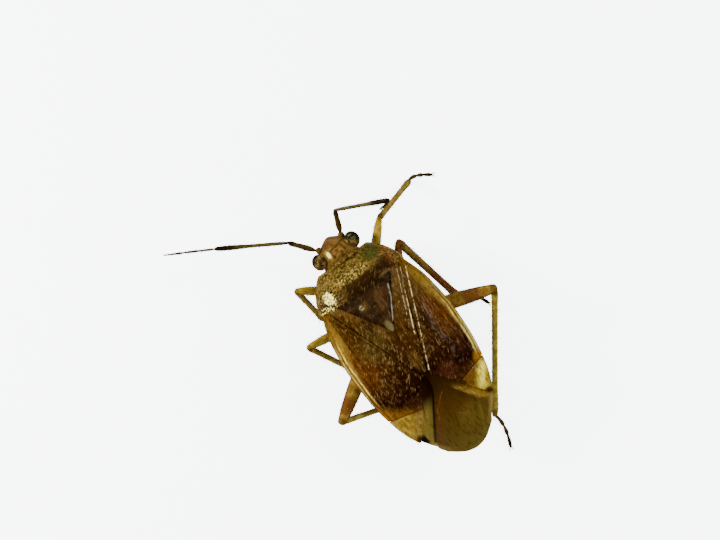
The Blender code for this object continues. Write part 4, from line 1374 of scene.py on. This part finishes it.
print("the clavus meets the corium", SEAM_FRONT, "mm from the middle in front and", SEAM_REAR, "mm behind")

# %% [markdown]
# A vein is a low ridge in the plate's own surface, not a wire on it, so it casts a soft shadow and carries the
# plate's colour. It is given by its share of the width at the front and at the rear, so it may run askew. The
# left film lies deeper than the right one by its own thickness, because the right wing is folded over it.

# %% The plates and films of the wings
MEMBRANE_THICK = 0.05
FILM_SUNK = 0.022
VEIN_RISE = 0.022


class Plate:
    """One plate of a wing. A vein is (share of the width in front, at the rear, rise, width)."""

    def __init__(self, side, plan, veins, thick=WING_THICK, sunk=0.0, swell=0.0):
        self.side, self.plan, self.veins = side, plan, veins
        self.thick, self.sunk, self.swell = thick, sunk, swell

    def top(self, back, across, u, v):
        lift = self.swell * max(1 - (2 * v - 1) ** 2, 0) * max(1 - (2 * u - 1) ** 4, 0)
        for front, rear, rise, width in self.veins:
            lift += rise * hump(v - (front * (1 - u) + rear * u), width)
        return off_back(back, self.side * across, lift - self.sunk)

    def bottom(self, back, across, u, v):
        return off_back(back, self.side * across, -self.sunk - self.thick)

    def mesh(self, rows, columns):
        return block(self.plan, even(rows), even(columns), self.top, self.bottom)


CLAVUS_VEINS = [(0.55, 0.55, 0.012, 0.05), (0.95, 0.90, VEIN_RISE, 0.035)]
CORIUM_VEINS = [
    (0.03, 0.015, VEIN_RISE, 0.016), (0.20, 0.36, VEIN_RISE, 0.020), (0.42, 0.90, VEIN_RISE, 0.022),
    (0.93, 0.955, 0.016, 0.016),
]
CUNEUS_VEINS = [(0.92, 0.90, 0.012, 0.05)]
FILM_VEINS = [(0.62, 0.76, VEIN_RISE, 0.018), (0.80, 0.62, 0.008, 0.016), (0.01, 0.01, 0.010, 0.015)]
wings = {name: [] for name in SIDES}
for name, side in SIDES.items():
    for part, plan, veins, swell, rows, columns, looks, slot, rim, hairs in (
        ("clavus", clavus_plan(), CLAVUS_VEINS, 0.0, 90, 26, leather, "wing_leather", 0.014, 340),
        ("corium", corium_plan(), CORIUM_VEINS, 0.012, 96, 84, leather, "wing_leather", 0.016, 1000),
        ("cuneus", cuneus_plan(), CUNEUS_VEINS, 0.016, 40, 40, straw, "cuneus", 0.012, 120),
    ):
        plate = Plate(side, plan, veins, swell=swell)
        wings[name].append((plate, hairs))
        piece(f"{part}_plate_{name}", plate.mesh(rows, columns), looks, slot, f"{part}_{name}", rim=rim)
for name, side in SIDES.items():
    sunk = FILM_SUNK + (MEMBRANE_THICK + GAP if name == "left" else 0)
    plate = Plate(side, membrane_plan(), FILM_VEINS, MEMBRANE_THICK, sunk)
    piece(f"film_{name}", plate.mesh(80, 70), film, "wing_membrane", f"membrane_{name}", rim=0.01)

# %% [markdown]
# The leather of a wing is hairy and its film is bare. The hairs of one wing are one mesh, and each plate has a
# third of its map.

# %% Hairs of the wings
for name, plates in wings.items():
    coat = Coat()
    for k, (plate, count) in enumerate(plates):
        coat.over(plate.top, plate.plan, count, 0.118, 0.0075, (0.02 + 0.33 * k, 0.02, 0.29, 0.96))
    coat.grow(f"wing_hairs_{name}", wing_hair, "wing_leather")

# %% [markdown]
# The beak lies folded back under the body between the hips: four joints that taper to a point. The feelers have
# four joints too. The first is short and stout, the second long and thicker towards its end, the last two are
# the thinnest. Each joint starts in a narrow neck, which is what makes a feeler look jointed and not like wire.

# %% Beak and feelers
BEAK = [at(0.10, 0, 0.92), at(0.20, 0, 0.76), at(0.50, 0, 0.62), at(1.10, 0, 0.56), at(1.95, 0, 0.55)]
BEAK_RADII = [
    (0, 0.060), (0.10, 0.065), (0.20, 0.060), (0.235, 0.044), (0.27, 0.054), (0.46, 0.046), (0.49, 0.036),
    (0.52, 0.044), (0.72, 0.036), (0.745, 0.028), (0.77, 0.034), (0.94, 0.024), (1, 0.010),
]
FEELER_ENDS = {
    "left": ((0.12, -0.32, 1.12), (-0.42, -0.75, 1.27), (-1.26, -2.14, 1.30), (-1.60, -2.74, 0.86),
             (-1.83, -3.16, 0.36)),
    "right": ((0.13, 0.30, 1.12), (-0.40, 0.51, 1.28), (0.13, 1.60, 2.32), (0.17, 1.45, 1.54),
              (0.17, 1.33, 0.96)),
}
FEELER_JOINTS = (
    ("feeler_root", 0.037, 0.053, 0.048, 70),
    ("feeler_stem", 0.036, 0.041, 0.050, 300),
    ("feeler_end", 0.022, 0.023, 0.022, 150),
    ("feeler_end", 0.020, 0.022, 0.010, 120),
)

Limb(BEAK, BEAK_RADII, 110).piece("beak", 16, limb_finishes["beak"], "leg", "rostrum")

coat = Coat()
for name in SIDES:
    ends = [at(*end) for end in FEELER_ENDS[name]]
    for i, (looks, root, middle, tip, hairs) in enumerate(FEELER_JOINTS):
        start, end = ends[i], ends[i + 1]
        if i == 0:
            swell = [(0, root * 0.7), (0.10, root * 0.75), (0.22, middle)]
            swell += [(0.7, middle), (0.95, tip), (1, tip * 0.7)]
            bow = Vector()
        else:
            swell = [(0, root * 0.85), (0.03, root * 0.9), (0.07, root), (0.5, middle), (0.94, tip)]
            swell += [(0.985, tip * 0.86), (1, tip * 0.6)]
            bow = Vector((0, 0, 0.02 * (end - start).length))
        joint = Limb([start, (start + end) / 2 + bow, end], swell, 60)
        joint.piece(f"feeler_{name}_{i + 1}", 16, limb_finishes[looks], "antenna", f"antenna_{name}_{i + 1}")
        cell = (0.02 + 0.12 * i + (0.5 if name == "left" else 0.0), 0.02, 0.10, 0.96)
        coat.round(joint, hairs, 0.055, 0.006, cell)
coat.grow("feeler_hairs", dark_hair, "antenna")

# %% [markdown]
# A leg has a hip, a thigh, a shin and a foot. The hind thighs are the strongest and carry a dark ring before
# the dark knee. The foot has three short joints that lie flat on the floor, and ends in two claws. A foot is
# swept as one tube with two narrow waists, and what would reach below the floor is cut off, so it stands flat.

# %% Feet and claws
TARSUS_RADIUS = 0.039
TARSUS_WAISTS = (
    (0, 0.9), (0.2, 1.0), (0.36, 1.05), (0.40, 0.70), (0.45, 0.85), (0.62, 1.05), (0.66, 0.70), (0.71, 0.80),
    (0.92, 1.0), (1, 0.7),
)


def stand(bm):
    """Cuts a foot flat on the floor."""
    everything = bm.verts[:] + bm.edges[:] + bm.faces[:]
    bmesh.ops.bisect_plane(bm, geom=everything, plane_co=(0, 0, 0), plane_no=(0, 0, 1), clear_inner=True)
    bmesh.ops.holes_fill(bm, edges=bm.edges)


def make_foot(ankle, toe, bow):
    """The three joints of the foot, and its two claws as a mesh of their own."""
    on_floor = TARSUS_RADIUS * 0.75
    sole = ankle.lerp(toe, 0.25)
    sole.z = on_floor
    toe = Vector((toe.x, toe.y, on_floor))
    path = [ankle, ankle.lerp(sole, 0.55), *[sole.lerp(toe, t) for t in (0.0, 0.33, 0.66, 1.0)]]
    path = [place + bow * 4 * t * (1 - t) for place, t in zip(path, (0.0, 0.14, 0.25, 0.50, 0.75, 1.0))]
    foot = bmesh.new()
    Limb(path, [(t, TARSUS_RADIUS * k) for t, k in TARSUS_WAISTS], 72).add_to(foot, 16)
    stand(foot)
    along = (toe - path[-2]).normalized()
    across = along.cross(UP)
    claws = bmesh.new()
    for side in (-1, 1):
        root = toe - along * 0.02
        middle = toe + along * 0.045 + across * side * 0.034 + UP * 0.014
        tip = toe + along * 0.082 + across * side * 0.036 - UP * (on_floor - 0.008)
        Limb([root, middle, tip], [(0, 0.014), (0.5, 0.011), (1, 0.004)], 16).add_to(claws, 10)
    stand(claws)
    return foot, claws


print("a foot is", 2 * TARSUS_RADIUS, "mm thick")

# %% [markdown]
# Each leg is told by where its knee, its ankle and its toe stand; the hips are the same on both sides. Stiff
# dark spines stand along each shin, on its two sides in turn, and lean towards the foot. The legs share one
# coat of hairs and one mesh of spines, and each leg has its own strip of their maps.

# %% Legs
ANKLE_HEIGHT = 0.10
HIPS = {
    "fore": ((1.03, 0.28, 0.86), (1.09, 0.48, 0.56)),
    "mid": ((1.84, 0.34, 0.86), (1.90, 0.58, 0.55)),
    "hind": ((2.38, 0.30, 0.86), (2.45, 0.52, 0.56)),
}
LEGS = {
    ("fore", "left"): ((0.55, -1.23, 1.10), (1.40, -1.13), (1.74, -0.95)),
    ("fore", "right"): ((0.32, 1.20, 1.10), (0.04, 2.23), (0.22, 2.73)),
    ("mid", "left"): ((1.72, -1.75, 1.28), (3.19, -0.99), (3.68, -0.77)),
    ("mid", "right"): ((0.99, 1.235, 1.22), (2.88, 1.63), (3.29, 2.08)),
    ("hind", "left"): ((3.49, -2.12, 1.35), (4.31, 0.48), (4.60, 1.02)),
    ("hind", "right"): ((3.075, 2.355, 1.35), (5.385, 0.716), (6.17, 0.586)),
}
# The mid right leg has a red thigh, and its shin is painted red-brown over its outer part as a shadow.
RED_LEG_WITH_PAINTED_SHADOW = ("mid", "right")
FOOT_BOW = {
    ("fore", "right"): (-0.10, -0.06),
    ("mid", "right"): (-0.06, 0.07),
    ("hind", "right"): (-0.05, 0.08),
}
# The mid right shin is made thicker to carry that painted shadow; the hind right shin is a little stouter too.
STOUT_SHINS = {("mid", "right"): 1.32, ("hind", "right"): 1.10}
COXA_RADII = [(0, 0.13), (0.3, 0.152), (0.6, 0.14), (0.85, 0.105), (1, 0.085)]
FEMUR_RADIUS = {"fore": 0.102, "mid": 0.104, "hind": 0.168}
FEMUR_PROFILE = (
    (0, 0.50), (0.05, 0.64), (0.16, 0.84), (0.33, 0.98), (0.5, 1.02), (0.67, 0.97), (0.83, 0.84), (0.95, 0.66),
    (1, 0.58),
)
TIBIA_RADII = ((0, 0.054), (0.03, 0.070), (0.10, 0.067), (0.4, 0.063), (0.8, 0.063), (0.97, 0.067), (1, 0.057))
SPINE_COUNT = {"fore": 6, "mid": 12, "hind": 16}
SPINE_LENGTH = 0.117

coat = Coat()
spines = Coat()
for number, (leg, (knee, ankle, toe)) in enumerate(LEGS.items()):
    pair, name = leg
    hip, trochanter = [at(back, SIDES[name] * side, height) for back, side, height in HIPS[pair]]
    knee, ankle, toe = at(*knee), at(*ankle, ANKLE_HEIGHT), at(*toe, 0)
    ending = f"_{pair}_{name}"
    left, low, wide, high = 0.02 + 0.165 * number, 0.02, 0.14, 0.45

    coxa = Limb([hip, trochanter], COXA_RADII, 20)
    coxa.piece("hip" + ending, 24, limb_finishes["hip"], "leg", f"{pair}_coxa_{name}")

    thick = FEMUR_RADIUS[pair]
    arch = (trochanter + knee) / 2 + Vector((0, 0, 0.05))
    thigh = Limb([trochanter, arch, knee], [(t, thick * k) for t, k in FEMUR_PROFILE], 64)
    looks = "thigh_ringed_" + name if pair == "hind" else "thigh_red" if leg == RED_LEG_WITH_PAINTED_SHADOW else "thigh"
    thigh.piece("thigh" + ending, 28, limb_finishes[looks], "leg", f"{pair}_femur_{name}")
    coat.round(thigh, 260, 0.075, 0.007, (left, low, wide, high))

    stout = STOUT_SHINS.get(leg, 1.0)
    shin = Limb([knee, (knee + ankle) / 2, ankle], [(t, radius * stout) for t, radius in TIBIA_RADII], 60)
    looks = "shin_with_painted_shadow" if leg == RED_LEG_WITH_PAINTED_SHADOW else "shin"
    shin.piece("shin" + ending, 16, limb_finishes[looks], "leg", f"{pair}_tibia_{name}")
    coat.round(shin, 320, 0.060, 0.006, (left, 0.50, wide, high))
    for k in range(SPINE_COUNT[pair]):
        share = 0.16 + 0.80 * k / (SPINE_COUNT[pair] - 1)
        centre, ahead, _, _ = shin.frame_at(share)
        level = ahead.cross(UP).normalized() * (1 if k % 2 else -1)
        root = centre + level * shin.radius(share) * 0.9
        patch = (left + wide * (k % 2), low + high * share)
        out = (level - Vector((0, 0, 0.2))).normalized()
        spines.hair(root, out, ahead, SPINE_LENGTH, 0.020, patch, rise=0.75)

    foot, claws = make_foot(ankle, toe, at(*FOOT_BOW.get(leg, (0, 0)), 0))
    piece("foot" + ending, foot, limb_finishes["foot"], "leg", f"{pair}_tarsus_{name}")
    piece("claws" + ending, claws, limb_finishes["claw"], "leg")
coat.grow("leg_hairs", gold_hair, "leg")
spines.grow("shin_spines", dark_hair, "leg")

# %% [markdown]
# The photograph has an almost white ground with next to no shadow, as on a light table. A plain floor does
# that: pale, and glowing a little of itself. Two soft lamps from the sides stand for the two arms of a
# microscope's lamp, with a weaker one behind, and a small low one for the glint on the left shoulder. Nothing
# bright hangs straight overhead, where it would veil the dark back with its shine.

# %% Floor and light
FLOOR_GLOW = 5.0
FLOOR_SIZE = 0.25

floor_finish = bpy.data.materials.new("floor")
floor_finish.use_nodes = True
floor_shader = floor_finish.node_tree.nodes["Principled BSDF"]
for socket, value in (
    ("Base Color", (0.90, 0.92, 0.94, 1)), ("Roughness", 0.9), ("Emission Color", (0.93, 0.97, 1.0, 1)),
    ("Emission Strength", FLOOR_GLOW),
):
    floor_shader.inputs[socket].default_value = value
floor = linked("floor", bpy.data.meshes.new("floor"))
bm = bmesh.new()
bmesh.ops.create_grid(bm, x_segments=1, y_segments=1, size=FLOOR_SIZE)
bm.to_mesh(floor.data)
bm.free()
floor.data.materials.append(floor_finish)
floor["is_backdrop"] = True

world = bpy.data.worlds.new("studio")
scene.world = world
world.use_nodes = True
sky = world.node_tree.nodes["Background"]
sky.inputs["Color"].default_value = (0.95, 0.97, 1.0, 1)
sky.inputs["Strength"].default_value = 0.9

# A lamp's place and aim are told on the animal, and its size in millimetres too.
for name, place, aim, size, watts, colour in (
    ("lamp_left", (-23, -25, 17), (1.2, 0, 1), 7, 0.036, (1.0, 0.98, 0.94)),
    ("lamp_shoulder", (-21, -27, 6), (1.1, -0.7, 1.5), 4, 0.014, (1.0, 0.98, 0.92)),
    ("lamp_right", (8, 34, 24), (2.5, 0, 1), 9, 0.024, (1, 1, 1)),
    ("lamp_rear", (34, -16, 24), (2.5, 0, 1), 14, 0.008, (1, 1, 1)),
):
    light = bpy.data.lights.new(name, "AREA")
    light.size = size * MM
    light.energy = watts
    light.color = colour
    lamp = linked(name, light)
    lamp.location = TO_METRES @ at(*place)
    toward = (TO_METRES @ at(*aim)) - lamp.location
    lamp.rotation_euler = toward.to_track_quat("-Z", "Y").to_euler()
    print(f"{name}: {watts} W, {(toward / MM).length:.0f} mm away")

# %% [markdown]
# Last, the box of the dressed animal is worked out next to the box of the solids, and its size in millimetres
# is printed with the number of triangles shown.

# %% Boxes
low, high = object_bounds()
{"cad": [list(cad_low), list(cad_high)], "visual": [list(low), list(high)]}
print("box in mm:", [round((b - a) / MM, 2) for a, b in zip(low, high)])
triangles = sum(len(f.vertices) - 2 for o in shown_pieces() for f in o.data.polygons)
print("triangles shown:", triangles)
